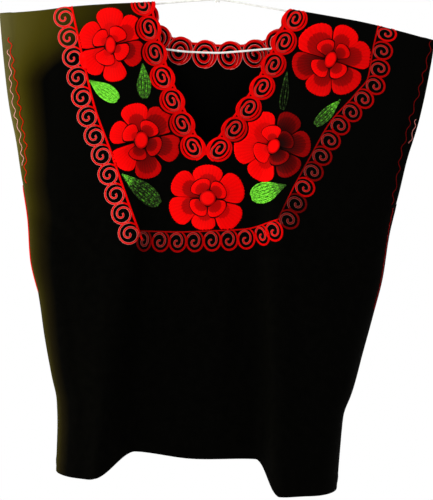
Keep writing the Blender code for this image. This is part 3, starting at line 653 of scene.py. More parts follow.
class Batch:
    """Points and faces of many small forms that become one piece."""

    def __init__(self):
        self.points, self.faces, self.uvs, self.tones = [], [], [], []
        self.count = 0

    def add(self, points, faces, uv, tones):
        self.points.append(points)
        self.faces += [np.asarray(block, int) + self.count for block in faces]
        self.uvs.append(uv)
        self.tones.append(tones)
        self.count += len(points)

    def piece(self, name, look, slot, *nodes):
        """The piece, which rides on the body, stands for the nodes and carries the look as its material. The
        slot is not used.
        """
        mesh = bpy.data.meshes.new(name)
        faces = [tuple(face) for block in self.faces for face in block.tolist()]
        mesh.from_pydata((np.concatenate(self.points) * MM).tolist(), [], faces)
        layer = mesh.uv_layers.new(name="thread")
        corners = np.empty(len(mesh.loops), int)
        mesh.loops.foreach_get("vertex_index", corners)
        layer.data.foreach_set("uv", np.concatenate(self.uvs)[corners].ravel())
        tones = mesh.attributes.new("tone", "FLOAT", "POINT")
        tones.data.foreach_set("value", np.concatenate(self.tones))
        mesh.shade_smooth()
        mesh.materials.append(look)
        made = add_object(name, mesh)
        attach(made, "root")
        if nodes:
            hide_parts(*nodes)
        return made


def shell(batch, grid, normals, keep, inner, uv, tones):
    """A closed wall on an open grid, from the grid inwards. Only the faces in keep are built."""
    rows, columns = grid.shape[:2]
    faces = quads(rows, columns)[keep]
    used = np.unique(faces)
    count = len(used)
    renumber = np.full(rows * columns, -1)
    renumber[used] = np.arange(count)
    faces = renumber[faces]
    points, outward = grid.reshape(-1, 3)[used], normals.reshape(-1, 3)[used]
    depth = np.broadcast_to(np.asarray(inner, float), (rows * columns, 1))[used]
    corner = points[faces[0]]
    if np.dot(np.cross(corner[1] - corner[0], corner[2] - corner[1]), outward[faces[0][0]]) < 0:
        faces = faces[:, ::-1]
    edges = np.concatenate([faces[:, [i, (i + 1) % 4]] for i in range(4)])
    keys = edges[:, 0] * count + edges[:, 1]
    mirrored = edges[:, 1] * count + edges[:, 0]
    rim = edges[~np.isin(keys, mirrored)]
    sides = np.stack([rim[:, 1], rim[:, 0], rim[:, 0] + count, rim[:, 1] + count], axis=1)
    every = np.concatenate([faces, faces[:, ::-1] + count, sides])
    both = np.concatenate([points, points - outward * depth])
    flat = (values[used] for values in (uv.reshape(-1, 2), tones.ravel()))
    batch.add(both, (every,), *(np.concatenate([values, values]) for values in flat))


class Cloth:
    """The outer face of a panel, for laying things on it."""

    def __init__(self, grid, normals, facing):
        self.facing = facing
        self.grid = grid
        self.corners, self.normals = grid.reshape(-1, 3), normals.reshape(-1, 3)
        self.faces = quads(*grid.shape[:2])
        self.tree = BVHTree.FromPolygons(self.corners.tolist(), self.faces.tolist())

    def lay(self, places):
        """The points of the cloth behind places seen from its own side, and its smooth normals there."""
        places = np.asarray(places, float)
        levels = np.maximum(places[:, 1], shoulder_level(places[:, 0]) + SEAM_GAP)
        left, right = (column(OUTLINE, OUTLINE_COLUMNS, side, levels) for side in ("left", "right"))
        across = np.clip(places[:, 0], left + EDGE_ROOM, right - EDGE_ROOM)
        inwards = Vector((0, -self.facing, 0))
        points, normals = np.zeros((len(places), 3)), np.zeros((len(places), 3))
        for index, (x, level) in enumerate(zip(across, levels)):
            seen_from = Vector((x, self.facing * LAY_DISTANCE, -(NECK_DROP + level)))
            hit, _, face, _ = self.tree.ray_cast(seen_from, inwards)
            if hit is None:
                raise ValueError(f"no cloth behind {x:.0f}, {level:.0f}")
            around = self.faces[face]
            weights = 1 / (np.linalg.norm(self.corners[around] - np.array(hit), axis=1) + 0.05)
            points[index] = hit
            normals[index] = (self.normals[around] * weights[:, None]).sum(axis=0)
        return points, unit(normals)


def thread(batch, points, normals, half_width, half_height, lift=0.0, tone=1.0, sides=6):
    """A round or flattened strand along points that lie on a surface."""
    count = len(points)
    ahead = unit(np.gradient(points, axis=0))
    sideways = unit(np.cross(ahead, normals))
    upward = np.cross(sideways, ahead)
    centre = points + normals * lift
    angles = np.arange(sides) / sides * 2 * math.pi
    width, height, tones = (np.broadcast_to(value, (count,)) for value in (half_width, half_height, tone))
    ring = centre[:, None, :] + sideways[:, None, :] * (np.cos(angles) * width[:, None])[:, :, None]
    ring = ring + upward[:, None, :] * (np.sin(angles) * height[:, None])[:, :, None]
    shift, most = STRAND_SHIFT
    along = np.repeat(lengths(points) + batch.count * shift % most, sides)
    uv = np.stack([along, np.tile(np.arange(sides) / sides * THREAD_ROUND, count)], axis=1)
    first, last, base = count * sides, count * sides + 1, (count - 1) * sides
    caps = [(first, (side + 1) % sides, side) for side in range(sides)]
    caps += [(last, base + side, base + (side + 1) % sides) for side in range(sides)]
    tones = np.repeat(tones, sides)
    batch.add(
        np.concatenate([ring.reshape(-1, 3), centre[[0, -1]]]), (quads(count, sides, closed=True), caps),
        np.concatenate([uv, uv[[0, -1]]]), np.concatenate([tones, tones[[0, -1]]]),
    )


def route(path, steps, cloth):
    """Places a step of cloth apart along a path, with their ways ahead and sideways, and its length."""
    line = follow(path, PATH_SAMPLES)
    along = lengths(cloth.lay(line)[0])
    places = spaced(line, along, steps + 1)
    return places, *headings(places), along[-1]


class Trim:
    """A row of scrolls: each has its middle, its ways to the inner side and ahead, and its two radii."""

    def __init__(self, row, reach, inner_side, cloth):
        self.name, scrolls, self.lead, self.path = row
        self.reach, self.cloth, self.inner_side = reach, cloth, inner_side
        self.steps = scrolls * STEPS_A_SCROLL - self.lead
        places, ahead, sideways, length = route(self.path, self.steps, cloth)
        self.pitch = length / self.steps * STEPS_A_SCROLL
        half = STEPS_A_SCROLL // 2
        self.scrolls = []
        for index in range((half - self.lead) % STEPS_A_SCROLL, self.steps, STEPS_A_SCROLL):
            low, high = max(index - half, 0), min(index + half, self.steps)
            along = np.linalg.norm(places[high] - places[low]) / (high - low) * half
            self.scrolls.append((places[index], inner_side * sideways[index], ahead[index], reach[0], along))

    def rail(self, straight=None, under=0.0):
        """The row's edge on its inner side: scalloped, or straight at a reach from its path."""
        places, _, sideways, _ = route(self.path, self.steps * RAIL_STEPS, self.cloth)
        off = np.arange(len(places)) / RAIL_STEPS + self.lead
        off = (off % STEPS_A_SCROLL / STEPS_A_SCROLL - 0.5) * self.pitch
        crest, waist = self.reach
        wide = np.maximum(waist, np.sqrt(np.maximum((crest - NECK_TUCK) ** 2 - off**2, 0))) - under
        if straight is not None:
            wide = np.full(len(off), straight)
        return places + self.inner_side * sideways * wide[:, None]


def curl(scroll, angles, radii):
    """Places round a scroll: angles in degrees from its inner side towards the way ahead, radii as shares."""
    middle, inwards, ahead, across, along = scroll
    angles = np.radians(angles)
    aside, onwards = across * radii * np.cos(angles), along * radii * np.sin(angles)
    return middle + np.outer(aside, inwards) + np.outer(onwards, ahead)


def evenly(places, step):
    """The same line with points a step apart."""
    along = lengths(places)
    return spaced(places, along, max(3, int(round(along[-1] / step)) + 1))


def stitched(batch, cloth, places, offsets, size, tone=1.0, inside=False, lift=STITCH_LIFT, sides=6):
    """Rows of stitches along a line on the cloth, each moved sideways, as far as the shoulder fold."""
    places = evenly(np.asarray(places, float), STITCH_STEP)
    spread = np.linspace(0, 1, len(places))

    def along_row(value):
        return np.interp(spread, np.linspace(0, 1, np.size(value)), np.ravel(value))

    _, sideways = headings(places)
    tones, half_width = along_row(tone), along_row(size[0])
    for offset in offsets:
        row = places + sideways * along_row(offset)[:, None]
        shown = row[:, 1] > shoulder_level(row[:, 0]) + FOLD_ROOM
        breaks = np.flatnonzero(np.diff(shown.astype(int))) + 1
        for part in np.split(np.arange(len(row)), breaks):
            if len(part) < 3 or not shown[part[0]]:
                continue
            points, normals = cloth.lay(row[part])
            if inside:
                points, normals = points - normals * WALL, -normals
            thread(batch, points, normals, half_width[part], size[1], lift, tones[part], sides)


def coil(batch, trim, scroll, sign, table, rows, tone, inside=False, edges=None):
    """A band that winds inwards, as rows of stitches side by side, with pale stitches along its edges."""
    turns, radii, widths = (np.array(values, float) for values in zip(*table))
    angles = np.linspace(turns[0], turns[-1], int((turns[-1] - turns[0]) / COIL_STEP))
    line = curl(scroll, sign * angles, smooth_curve(turns, radii, angles))
    widths = smooth_curve(turns, widths, angles)
    offsets = [widths * place / rows for place in range(1 - rows, rows, 2)]
    size = (widths / rows * BAND_OVERLAP, BAND_HEIGHT)
    stitched(batch, trim.cloth, line, offsets, size, tone, inside)
    if edges:
        pale, tone, first = edges
        shown = angles >= first
        offsets = [(widths * side * PALE_PLACE)[shown] for side in ((1,) if inside else (-1, 1))]
        stitched(pale, trim.cloth, line[shown], offsets, PALE_ROW, tone, inside, PALE_LIFT, 4)


def neck_scrolls(batch, pale, trim, inside=False):
    """Scrolls of the neck: a band, broad towards the opening, winds into a hook, and a thin one backs it."""
    for number, scroll in enumerate(trim.scrolls):
        tone = NECK_TONE - NECK_TONE_STEP * (number % 3)
        if inside:
            middle, inwards, ahead, across, along = scroll
            lower = (middle - INSIDE_DROP * inwards, inwards, ahead, across + INSIDE_DROP, along)
            coil(batch, trim, lower, -1, INSIDE_COIL, 2, tone * INSIDE_TONE, True, (pale, *PALE_INSIDE))
        else:
            coil(batch, trim, scroll, -1, NECK_COIL, 3, tone, False, (pale, *PALE_NECK))
            coil(batch, trim, scroll, -1, NECK_TAIL, 2, tone * TAIL_TONE)
    away, apart, half_width, tone = RIM_ROWS
    size = (half_width, BAND_HEIGHT)
    stitched(batch, trim.cloth, trim.rail(under=away), (-apart, apart), size, tone, inside)


def border_scrolls(batch, pale, trim, sign, tones, line_half, pale_look):
    """A running scroll: each springs from the straight line and winds inwards round its own hook."""
    for number, (scroll, tone) in enumerate(zip(trim.scrolls, tones)):
        shade = tone * (1 - BORDER_TONE_STEP * (number % 4))
        coil(batch, trim, scroll, sign, BORDER_COIL, 2, shade, False, (pale, *pale_look))
    half = line_half / 2
    size = (half * BAND_OVERLAP, LINE_ROW)
    stitched(batch, trim.cloth, trim.rail(LINE_REACH), (-half, half), size, tones)


def waves(across, table, direction):
    """The sum of a table's waves at places across a petal."""
    return sum(height * np.sin(across * number + shift * direction) for height, number, shift in table)


def petal_places(middle, petal, across, along, start, gap, grown):
    """A petal's places as rows from its base to its rounded rim."""
    direction, spread, reach = petal[:3]
    lobe = PETAL_SHOULDER + (1 - PETAL_SHOULDER) * np.sqrt(np.maximum(1 - np.abs(across) ** PETAL_ROUND, 0))
    rim = reach * lobe * (1 + waves(across, RIM_WAVES, direction)) + grown
    radius = start + (rim - start) * along
    half = np.radians(spread / 2) - (gap / 2 - grown) / np.maximum(radius, 3)
    angle = math.radians(direction) + across * half
    return np.stack([middle[0] + radius * np.cos(angle), middle[1] - radius * np.sin(angle)], axis=2)


def cleared(middle, places, taken):
    """Places drawn in towards a middle until they are clear of the trims."""
    flat = places.reshape(-1, 2).copy()
    for _ in range(CLEAR_STEPS):
        off = np.linalg.norm(flat[:, None, :] - taken[None, :, :2], axis=2) - taken[None, :, 2]
        short = off.min(axis=1) < 0
        flat[short] = middle + (flat[short] - middle) * CLEAR_SHARE
    return flat.reshape(places.shape)


def pad(batch, cloth, places, heights, tones, across, along):
    """A raised satin stitched patch: closed, its underside just off the cloth."""
    points, normals = cloth.lay(places.reshape(-1, 2))
    rows, columns = places.shape[:2]
    top = points + normals * heights.reshape(-1, 1)
    thickness = np.maximum(heights.reshape(-1, 1) - PAD_CLEARANCE, PAD_THINNEST)
    shell(
        batch, top.reshape(rows, columns, 3), normals.reshape(rows, columns, 3),
        np.ones((rows - 1) * (columns - 1), bool), thickness, np.stack([across, along], axis=2), tones,
    )


def petal(batch, cloth, middle, row, taken, layer):
    """A satin stitched petal: a dark zone with a ragged edge next to the flower's middle, partly darker
    thread and partly painted shade, and a bright rim.
    """
    direction, spread, reach, share, depth = row
    start, gap, base, puff, hidden, grown = layer
    across = np.linspace(-1, 1, PETALS_ACROSS + 1)
    ragged = waves(across, ZONE_WAVES, direction) - ZONE_BOW * across**2
    turn = np.clip(hidden + (1 - hidden) * share + ragged, 0.1, 0.9)
    within = np.linspace(0, 1, PETAL_ROWS_DARK)[:, None] * (turn - PETAL_EDGE)
    beyond = turn + PETAL_EDGE + np.linspace(0, 1, PETAL_ROWS_BRIGHT)[:, None] * (1 - turn - PETAL_EDGE)
    along = np.concatenate([within, beyond])
    places = cleared(middle, petal_places(middle, row, across, along, start, gap, grown), taken)
    sides, tip = PETAL_DROP
    heights = base + puff * (1 - sides * np.abs(across) ** 6) * (1 - tip * along**8)
    # The dark zone is partly darker thread and partly painted shade where the flower lies on a fold turned
    # away from the light
    dimmed = (PETAL_DARKEST * depth, RIM_DARKER * max(0.0, depth - RIM_BRIGHT))
    zone = np.repeat(dimmed, (PETAL_ROWS_DARK, PETAL_ROWS_BRIGHT))
    zone[:PETAL_ROWS_DARK] *= np.linspace(*ZONE_SHADING, PETAL_ROWS_DARK)
    darker, strands = STRAND_WAVES
    streaks = darker * (1 + np.sin(across * strands + direction))
    tones = np.maximum(1 - zone[:, None] - ZONE_BASE * (1 - along) - streaks, LEAST_TONE)
    if grown:
        tones = np.full_like(tones, SHADOW_TONE)
    width = across * math.radians(spread / 2) * reach * 0.7 + direction
    pad(batch, cloth, places, heights, tones, np.broadcast_to(width, tones.shape), along * reach)


def heart(batch, cloth, middle, row, layer):
    """A flower's raised oval middle, or the shadow round it."""
    half_width, half_height, tilt = row
    base, puff, grown, tone = layer
    rings = np.linspace(0.02, 1, HEART_RINGS)[:, None]
    angles = np.linspace(0, 2 * math.pi, HEART_SPOKES)
    x, y = rings * (half_width + grown) * np.cos(angles), rings * (half_height + grown) * np.sin(angles)
    cos, sin = math.cos(math.radians(tilt)), math.sin(math.radians(tilt))
    places = np.stack([middle[0] + x * cos - y * sin, middle[1] - x * sin - y * cos], axis=2)
    heights = np.broadcast_to(base + puff * np.sqrt(1 - HEART_DROP * rings**4), x.shape)
    rim, darker = HEART_RIM
    pad(batch, cloth, places, heights, np.full(x.shape, tone) - darker * (rings > rim), x, y)


def rose(number, row, cloth, taken, look):
    """A flower of satin stitch: outer petals, inner ones over them with shadows, and a raised middle."""
    x, level, heart_row, outer, inner = row
    middle = np.array([x, level], float)
    batch = Batch()
    for petals, layer in ((outer, OUTER_LAYER), (inner, SHADOW_LAYER), (inner, INNER_LAYER)):
        for petal_row in petals:
            petal(batch, cloth, middle, petal_row, taken, layer)
    for layer in HEART_LAYERS:
        heart(batch, cloth, middle, heart_row, layer)
    batch.piece(f"satin_rose_{number}", look, "red_thread", f"rose_{number}")


def leaf(number, row, cloth, look):
    """A drop-shaped leaf filled with rows of chain stitch from its tip to its round end."""
    tip_x, tip_level, end_x, end_level, width, tip_tone, end_tone, change, rows, speckle = row
    tip, run = np.array([tip_x, tip_level], float), np.array([end_x - tip_x, end_level - tip_level], float)
    side = np.array([-run[1], run[0]]) / np.linalg.norm(run)
    share = np.linspace(*LEAF_ENDS, LEAF_SAMPLES)
    widening = np.sin(np.clip(share / LEAF_WIDEST, 0, 1) * math.pi / 2) ** LEAF_POINTED
    past = np.clip((share - LEAF_WIDEST) / (1 - LEAF_WIDEST), 0, 1)
    half = width / 2 * np.where(share < LEAF_WIDEST, widening, np.sqrt(1 - past**LEAF_ROUND))
    changed = np.clip((share - change) / LEAF_CHANGE / 2 + 0.5, 0, 1)
    plain_tone = tip_tone + (end_tone - tip_tone) * changed**2 * (3 - 2 * changed)
    swing, often, shift = LEAF_SWAY
    batch = Batch()
    for stitch_row in range(rows):
        part = (stitch_row + 0.5) / rows * 2 - 1
        off = half * part * LEAF_FILL + swing * np.sin(share * often + stitch_row * shift)
        line = tip + np.outer(share, run) + np.outer(off, side)
        first = 0 if rows > OPEN_ROWS or stitch_row % 2 else OPEN_START
        streak = 1 - LEAF_STREAK * speckle * (1 - math.sin(stitch_row * 2.4))
        turns = share * LEAF_STIPPLE + stitch_row**2 * 1.9 + 2 * np.sin(share * 31 + stitch_row)
        tones = plain_tone * streak * (1 - speckle * (0.5 - 0.5 * np.sin(turns)))
        stitched(batch, cloth, line[first:], (0.0,), LEAF_STITCH, tones[first:])
    batch.piece(f"stitched_leaf_{number}", look, "green_thread", f"leaf_{number}")


def zigzag(batch, cloth, row):
    """A wavy row of stitches that holds a hem."""
    _, tone, half_width, wave, period, path = row
    places = follow(path, ZIGZAG_SAMPLES)
    turns = np.linspace(0, lengths(np.array(path, float))[-1], ZIGZAG_SAMPLES) / period * 2 * math.pi
    ahead, more = (most * np.sin(turns * often) for most, often in (UNEVEN_TURNS, UNEVEN_SWING))
    swing = wave * np.sin(turns + ahead) * (1 + more)
    wavy = places + headings(places)[1] * swing[:, None]
    stitched(batch, cloth, wavy, (0.0,), (half_width, ZIGZAG_HEIGHT), tone)


def level_circle(angles):
    """Directions on a level circle round an upright line."""
    return np.stack([np.cos(angles), np.sin(angles), np.zeros(len(angles))], axis=1)


def in_mid_plane(x, levels):
    """Points half way between the front and the back."""
    return np.stack([x, np.zeros(len(x)), -(NECK_DROP + levels)], axis=1)


def whipped(batch, cloth, side, start, end, radius, tone):
    """A side seam's edge closely wound with a strand, between two levels."""
    sewn = cloth.grid[:, 0 if side < 0 else -1]
    turns = (end - start) / WHIP_PITCH
    steps = np.linspace(0, 1, int(turns * WHIP_FINE))
    levels = start + (end - start) * steps
    edge = np.interp(levels, -sewn[:, 2] - NECK_DROP, sewn[:, 0]) + side * radius * WHIP_OUT
    core = in_mid_plane(edge, levels)
    from_end = np.minimum(levels - start, end - levels)
    taper = radius * (WHIP_END + (1 - WHIP_END) * np.tanh(from_end / WHIP_TAPER))
    inner, fine = core[::WHIP_CORE_STEP], taper[::WHIP_CORE_STEP]
    thread(batch, inner, np.tile(FORWARDS, (len(inner), 1)), fine, fine, tone=tone, sides=8)
    outward = level_circle(steps * turns * 2 * math.pi)
    wound = core + outward * taper[:, None] * WHIP_SEAT
    thread(batch, wound, outward, WHIP_STRAND, WHIP_STRAND, tone=tone, sides=5)


def arc(centre_level, radius, start, end, count):
    """Points on a circle in the mid plane. Angles are in degrees, 90 is upwards."""
    angles = np.radians(np.linspace(start, end, count))
    return [(radius * math.cos(a), centre_level - radius * math.sin(a)) for a in angles]


def wire(name, line, look):
    """A smooth round wire through places in the mid plane, which stands for its node."""
    count = max(4, int(lengths(np.array(line, float))[-1] / WIRE_STEP))
    points = in_mid_plane(*follow(line, count).T)
    batch = Batch()
    thread(batch, points, np.tile(FORWARDS, (count, 1)), WIRE_RADIUS, WIRE_RADIUS, sides=14)
    batch.piece(f"coated_{name}", look, "white_wire", name)


def arm_level(x):
    """The middle of the wire under the shoulder fold."""
    under = SOLID_WALL + SEAM_GAP + WIRE_RADIUS
    seat = float(shoulder_level(np.sign(x) * max(abs(x), STRAIGHT_ARM))) + under
    start = APEX_LEVEL + COLLAR_LENGTH / 3
    return start + (seat - start) * min(abs(x) / STRAIGHT_ARM, 1)


def twisted_collar(look):
    """The two wires of the arms wound round each other under the hook."""
    steps = np.linspace(0, 1, COLLAR_SAMPLES)
    levels = APEX_LEVEL - COLLAR_LENGTH / 2 + COLLAR_LENGTH * steps
    batch = Batch()
    for strand in (0, math.pi):
        outward = level_circle(steps * COLLAR_TURNS * 2 * math.pi + strand)
        points = in_mid_plane(0 * levels, levels) + outward * (COLLAR_RADIUS - WIRE_RADIUS)
        thread(batch, points, outward, WIRE_RADIUS, WIRE_RADIUS, sides=10)
    batch.piece("coated_hanger_collar", look, "white_wire", "hanger_collar")


def hanger(look):
    """A wire hanger: hook, collar, two arms with rounded ends, and the bar."""
    centre = HOOK_RADIUS - WIRE_RADIUS - NECK_DROP
    hook = arc(centre, HOOK_RADIUS, *HOOK_SWEEP, 15) + [(x, centre + down) for x, down in HOOK_NECK]
    wire("hanger_hook", [*hook, (0, APEX_LEVEL - COLLAR_LENGTH / 2 - SEAM_GAP)], look)
    twisted_collar(look)
    for side, sign in (("left", -1), ("right", 1)):
        places = (COLLAR_RADIUS + SEAM_GAP, *ARM_PLACES, ARM_END)
        line = [(sign * x, arm_level(sign * x)) for x in places]
        top, bottom = line[-1][1], BAR[0 if sign < 0 else -1][1]
        radius = (bottom - top) / 2
        line += [(sign * (ARM_END + x), top + radius + down) for x, down in arc(0, radius, 90, -90, 7)[1:]]
        wire(f"hanger_arm_{side}", line, look)
    ends = [(BAR[0][0] + SEAM_GAP, BAR[0][1]), *BAR[1:-1], (BAR[-1][0] - SEAM_GAP, BAR[-1][1])]
    xs = np.linspace(ends[0][0], ends[-1][0], 15)
    wire("hanger_bar", list(zip(xs, smooth_curve(*zip(*ends), xs))), look)


class Look:
    """A material in the making."""

    def __init__(self, name):
        self.material = bpy.data.materials.new(name)
        self.material.use_nodes = True
        self.tree = self.material.node_tree
        self.shader = self.tree.nodes["Principled BSDF"]

    def feed(self, node, inputs):
        """Inputs are plain values, or the outputs of other nodes."""
        for name, value in inputs.items():
            if isinstance(value, bpy.types.NodeSocket):
                self.tree.links.new(value, node.inputs[name])
            else:
                node.inputs[name].default_value = value

    def node(self, kind, output, inputs, **settings):
        made = self.tree.nodes.new(kind)
        for name, value in settings.items():
            setattr(made, name, value)
        self.feed(made, inputs)
        return made.outputs[output]

    def thread_uv(self):
        return self.node("ShaderNodeUVMap", "UV", {}, uv_map="thread")

    def noise(self, place, scale, detail):
        inputs = {"Vector": place, "Scale": scale, "Detail": detail}
        return self.node("ShaderNodeTexNoise", "Fac", inputs)

    def wave(self, place, direction, scale, distortion, detail):
        inputs = {"Vector": place, "Scale": scale, "Distortion": distortion, "Detail Scale": detail}
        return self.node("ShaderNodeTexWave", "Fac", inputs, bands_direction=direction)

    def maths(self, operation, first, second):
        return self.node("ShaderNodeMath", "Value", {0: first, 1: second}, operation=operation)

    def ranged(self, value, limits, kind="LINEAR"):
        """A value taken from one range to another."""
        inputs = {"Value": value, **dict(zip(("From Min", "From Max", "To Min", "To Max"), limits))}
        return self.node("ShaderNodeMapRange", "Result", inputs, interpolation_type=kind)

    def ramp(self, value, stops):
        made = self.tree.nodes.new("ShaderNodeValToRGB")
        elements = made.color_ramp.elements
        for _ in stops[2:]:
            elements.new(0.5)
        for element, (place, colour) in zip(elements, stops):
            element.position = place
            element.color = (*colour, 1.0)
        self.feed(made, {"Fac": value})
        return made.outputs["Color"]

    def bump(self, height, strength, distance):
        inputs = {"Height": height, "Strength": strength, "Distance": distance}
        return self.node("ShaderNodeBump", "Normal", inputs)

    def finish(self, **inputs):
        self.feed(self.shader, {name.replace("_", " "): value for name, value in inputs.items()})
        return self.material


def cloth_look():
    """Soft black cotton: a fine plain weave, a little lint, and painted light down its left flank, a
    yellow-grey glow where light from the left falls.
    """
    look = Look("black_cotton")
    uv = look.thread_uv()
    weave = look.maths("ADD", *(look.wave(uv, direction, 0.55, 0.6, 0.7) for direction in ("X", "Y")))
    slub = look.noise(uv, 0.09, 8)
    across = look.node("ShaderNodeSeparateXYZ", "X", {0: uv})
    down = across.node.outputs["Y"]
    width = look.maths("ADD", *(look.ranged(down, row, "SMOOTHSTEP") for row in (PAINTED_LIGHT_WIDTH, PAINTED_LIGHT_WIDENING)))
    # Painted light: the left flank is coloured yellow-grey as if lit from the left, strongest at the seam
    painted_flank_light = {
        "Factor": look.ranged(down, PAINTED_LIGHT_STRENGTH, "SMOOTHSTEP"),
        "A": look.ramp(slub, COTTON_STOPS),
        "B": look.ramp(look.maths("DIVIDE", across, width), PAINTED_FLANK_LIGHT_STOPS),
    }
    return look.finish(
        Base_Color=look.node("ShaderNodeMix", "Result", painted_flank_light, data_type="RGBA"),
        Roughness=look.ranged(slub, (0, 1, 0.82, 0.97)),
        Normal=look.bump(weave, 0.35, 0.0002),
        Specular_IOR_Level=0.004,
        Sheen_Weight=0.0012,
        Sheen_Roughness=0.45,
        Sheen_Tint=(0.75, 0.68, 0.38, 1.0),
    )


def thread_look(name, stops, stitch, strength, gloss):
    """Stitched thread: its tone comes from each stitch, its strands from waves across and along the row."""
    look = Look(name)
    uv = look.thread_uv()
    tone = look.node("ShaderNodeAttribute", "Fac", {}, attribute_name="tone")
    wave = look.wave(uv, "X", stitch, 1.2, 1.5)
    fibre = look.noise(uv, 1.6, 5)
    shade = look.maths("ADD", tone, look.ranged(fibre, (0, 1, -0.10, 0.10)))
    shade = look.maths("ADD", shade, look.ranged(wave, (0, 1, -0.10, 0.02)))
    return look.finish(
        Base_Color=look.ramp(shade, stops),
        Roughness=look.ranged(fibre, (0, 1, gloss, gloss + 0.25)),
        Normal=look.bump(look.maths("ADD", wave, fibre), strength, 0.0003),
        Specular_IOR_Level=0.02,
    )


def wire_look():
    """White plastic over wire, a little uneven and scuffed."""
    look = Look("white_coating")
    grain = look.noise(look.node("ShaderNodeTexCoord", "Object", {}), 220, 6)
    return look.finish(
        Base_Color=look.ramp(grain, COATING_STOPS),
        Roughness=look.ranged(grain, (0, 1, 0.28, 0.5)),
        Normal=look.bump(grain, 0.15, 0.0002),
    )


def panel(name, folds, hem, cells, facing, creases, opening, look):
    """A panel of cloth with its creases and hems, its neck cut along the scallops."""
    grid = cloth_points(folds, hem, cells, facing)
    relief = crease_relief(grid, creases) + hem_relief(grid)
    grid = grid + grid_normals(grid, facing) * relief[:, :, None]
    cloth = Cloth(grid, grid_normals(grid, facing), facing)
    outline, trims = opening(cloth)
    flat = np.stack([grid[:, :, 0], -grid[:, :, 2] - NECK_DROP], axis=2).reshape(-1, 2)
    inside = inside_polygon(flat, outline)
    keep = ~inside[cloth.faces].all(axis=1)
    kept = cloth.faces[keep]
    rim = np.unique(kept[inside[kept]])
    points, outward = cloth.corners.copy(), cloth.normals.copy()
    points[rim], outward[rim] = cloth.lay(nearest_on_outline(flat[rim], outline))
    uv = np.stack([lengths(grid, 1), lengths(grid)], axis=2)
    batch = Batch()
    shell(
        batch, points.reshape(grid.shape), outward.reshape(grid.shape),
        keep, WALL, uv, np.ones(uv.shape[:2]),
    )
    nodes = [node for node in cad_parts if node.startswith(name.replace("cloth", ""))]
    return batch.piece(name, look, "black_cloth", *nodes), cloth, trims


def cut_outline(edge):
    """The outline of what is cut away over an edge of the neck."""
    return [(edge[0][0], CUT_TOP), *edge, (edge[-1][0], CUT_TOP)]


def front_opening(cloth):
    trims = [Trim(row, NECK_REACH, side, cloth) for row, side in zip(NECK_TRIMS, (-1, 1))]
    lowest = NECK_DEPTH - POINT_ROOM
    left, right = ([tuple(place) for place in trim.rail() if place[1] < lowest] for trim in trims)
    return cut_outline([*left, (NECK_MIDDLE, NECK_DEPTH + CUT_POINT), *right[::-1]]), trims


def back_opening(cloth):
    trim = Trim(BACK_TRIM, NECK_REACH, -1, cloth)
    return cut_outline([tuple(place) for place in trim.rail()]), [trim]


def trims_taken(neck, borders):
    """Round places that the trims take up, as x, level and radius."""
    taken = [(*scroll[0], TAKEN_SCROLL) for trim in neck for scroll in trim.scrolls]
    for trim in borders:
        taken += [(*place, TAKEN_LINE) for place in evenly(trim.rail(LINE_REACH), TAKEN_STEP)]
    return np.array(taken)


def camera():
    data = bpy.data.cameras.new("camera")
    data.lens = CAMERA_LENS
    data.sensor_width = CAMERA_SENSOR
    made = add_object("camera", data)
    made.location = CAMERA_PLACE
    made.rotation_mode = "XYZ"
    made.rotation_euler = (math.pi / 2, math.radians(CAMERA_ROLL), 0)
    bpy.context.scene.camera = made


def lights():
    world = bpy.data.worlds.new("studio")
    world.use_nodes = True
    sky = world.node_tree.nodes["Background"]
    sky.inputs["Color"].default_value = (1.0, 1.0, 1.0, 1.0)
    sky.inputs["Strength"].default_value = 1.0
    bpy.context.scene.world = world
    for name, place, size, power, colour in LAMPS:
        data = bpy.data.lights.new(name, "AREA")
        data.size = size
        data.energy = power
        data.color = colour
        made = add_object(name, data)
        made.location = place
        made.rotation_euler = (Vector(LAMP_AIM) - Vector(place)).to_track_quat("-Z", "Y").to_euler()


def floor():
    mesh = bpy.data.meshes.new("floor")
    corners = [(FLOOR_HALF * x, FLOOR_HALF * y, 0) for x, y in ((-1, -1), (1, -1), (1, 1), (-1, 1))]
    mesh.from_pydata(corners, [], [(0, 1, 2, 3)])
    mesh.materials.append(Look("pale_floor").finish(Base_Color=(0.85, 0.85, 0.84, 1.0), Roughness=0.8))
    made = add_object("floor", mesh)
    made.location.z = FLOOR_LEVEL


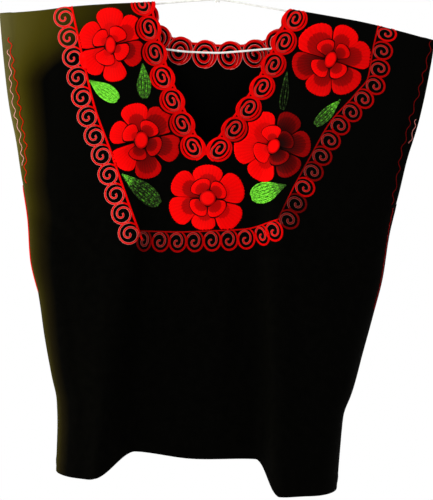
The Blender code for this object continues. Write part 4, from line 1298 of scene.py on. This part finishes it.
def main():
    black = cloth_look()
    red = thread_look("red_cotton", RED_STOPS, 1.1, 0.5, 0.42)
    pale = thread_look("pale_cotton", PALE_STOPS, 1.1, 0.4, 0.5)
    green = thread_look("green_cotton", GREEN_STOPS, 0.9, 0.6, 0.45)
    dark = thread_look("black_sewing_thread", BLACK_STOPS, 1.1, 0.4, 0.6)

    front, front_cloth, neck = panel(
        "front_cloth", FRONT_FOLDS, HEM_FRONT, FINE_FRONT, -1, FRONT_CREASES, front_opening, black)
    back, back_cloth, (neck_back,) = panel(
        "back_cloth", BACK_FOLDS, HEM_BACK, FINE_BACK, 1, BACK_CREASES, back_opening, black)

    pale_neck = Batch()
    for trim in (*neck, neck_back):
        batch = Batch()
        neck_scrolls(batch, pale_neck, trim)
        name = trim.name.replace("neck_trim_front", "scrolls_neck").replace("neck_trim", "scrolls_neck")
        batch.piece(name, red, "red_thread", trim.name)
    batch = Batch()
    neck_scrolls(batch, pale_neck, neck_back, inside=True)
    batch.piece("scrolls_neck_back_inside", red, "red_thread")
    pale_neck.piece("pale_neck_stitches", pale, "red_thread")

    borders, pale_borders = [], Batch()
    for row, border_look in zip(BORDERS, BORDER_LOOKS):
        trim = Trim(row, BORDER_REACH, -1, front_cloth)
        borders.append(trim)
        batch = Batch()
        border_scrolls(batch, pale_borders, trim, *border_look)
        batch.piece(trim.name.replace("yoke_border", "scrolls_yoke"), red, "red_thread", trim.name)
    pale_borders.piece("pale_border_stitches", pale, "red_thread")

    taken = trims_taken(neck, borders)
    for number, row in enumerate(ROSES, 1):
        rose(number, row, front_cloth, taken, red)
    for number, row in enumerate(LEAVES, 1):
        leaf(number, row, front_cloth, green)

    hems = {"red": Batch(), "pale": Batch()}
    for row in ZIGZAGS:
        for cloth in (front_cloth, back_cloth):
            zigzag(hems[row[0]], cloth, row)
    hems["red"].piece("red_hem_stitches", red, "red_thread")
    hems["pale"].piece("pale_hem_stitches", pale, "red_thread")
    seams = {"red": Batch(), "black": Batch()}
    for side, colour, *run in SEAMS:
        whipped(seams[colour], front_cloth, side, *run)
    zigzag(seams["red"], front_cloth, SEAM_ROWS)
    seams["red"].piece("red_seam_stitches", red, "red_thread")
    seams["black"].piece("black_seam_stitches", dark, "black_cloth")
    hanger(wire_look())

    camera()
    lights()
    floor()


main()
bpy.context.scene.view_settings.view_transform = "Standard"
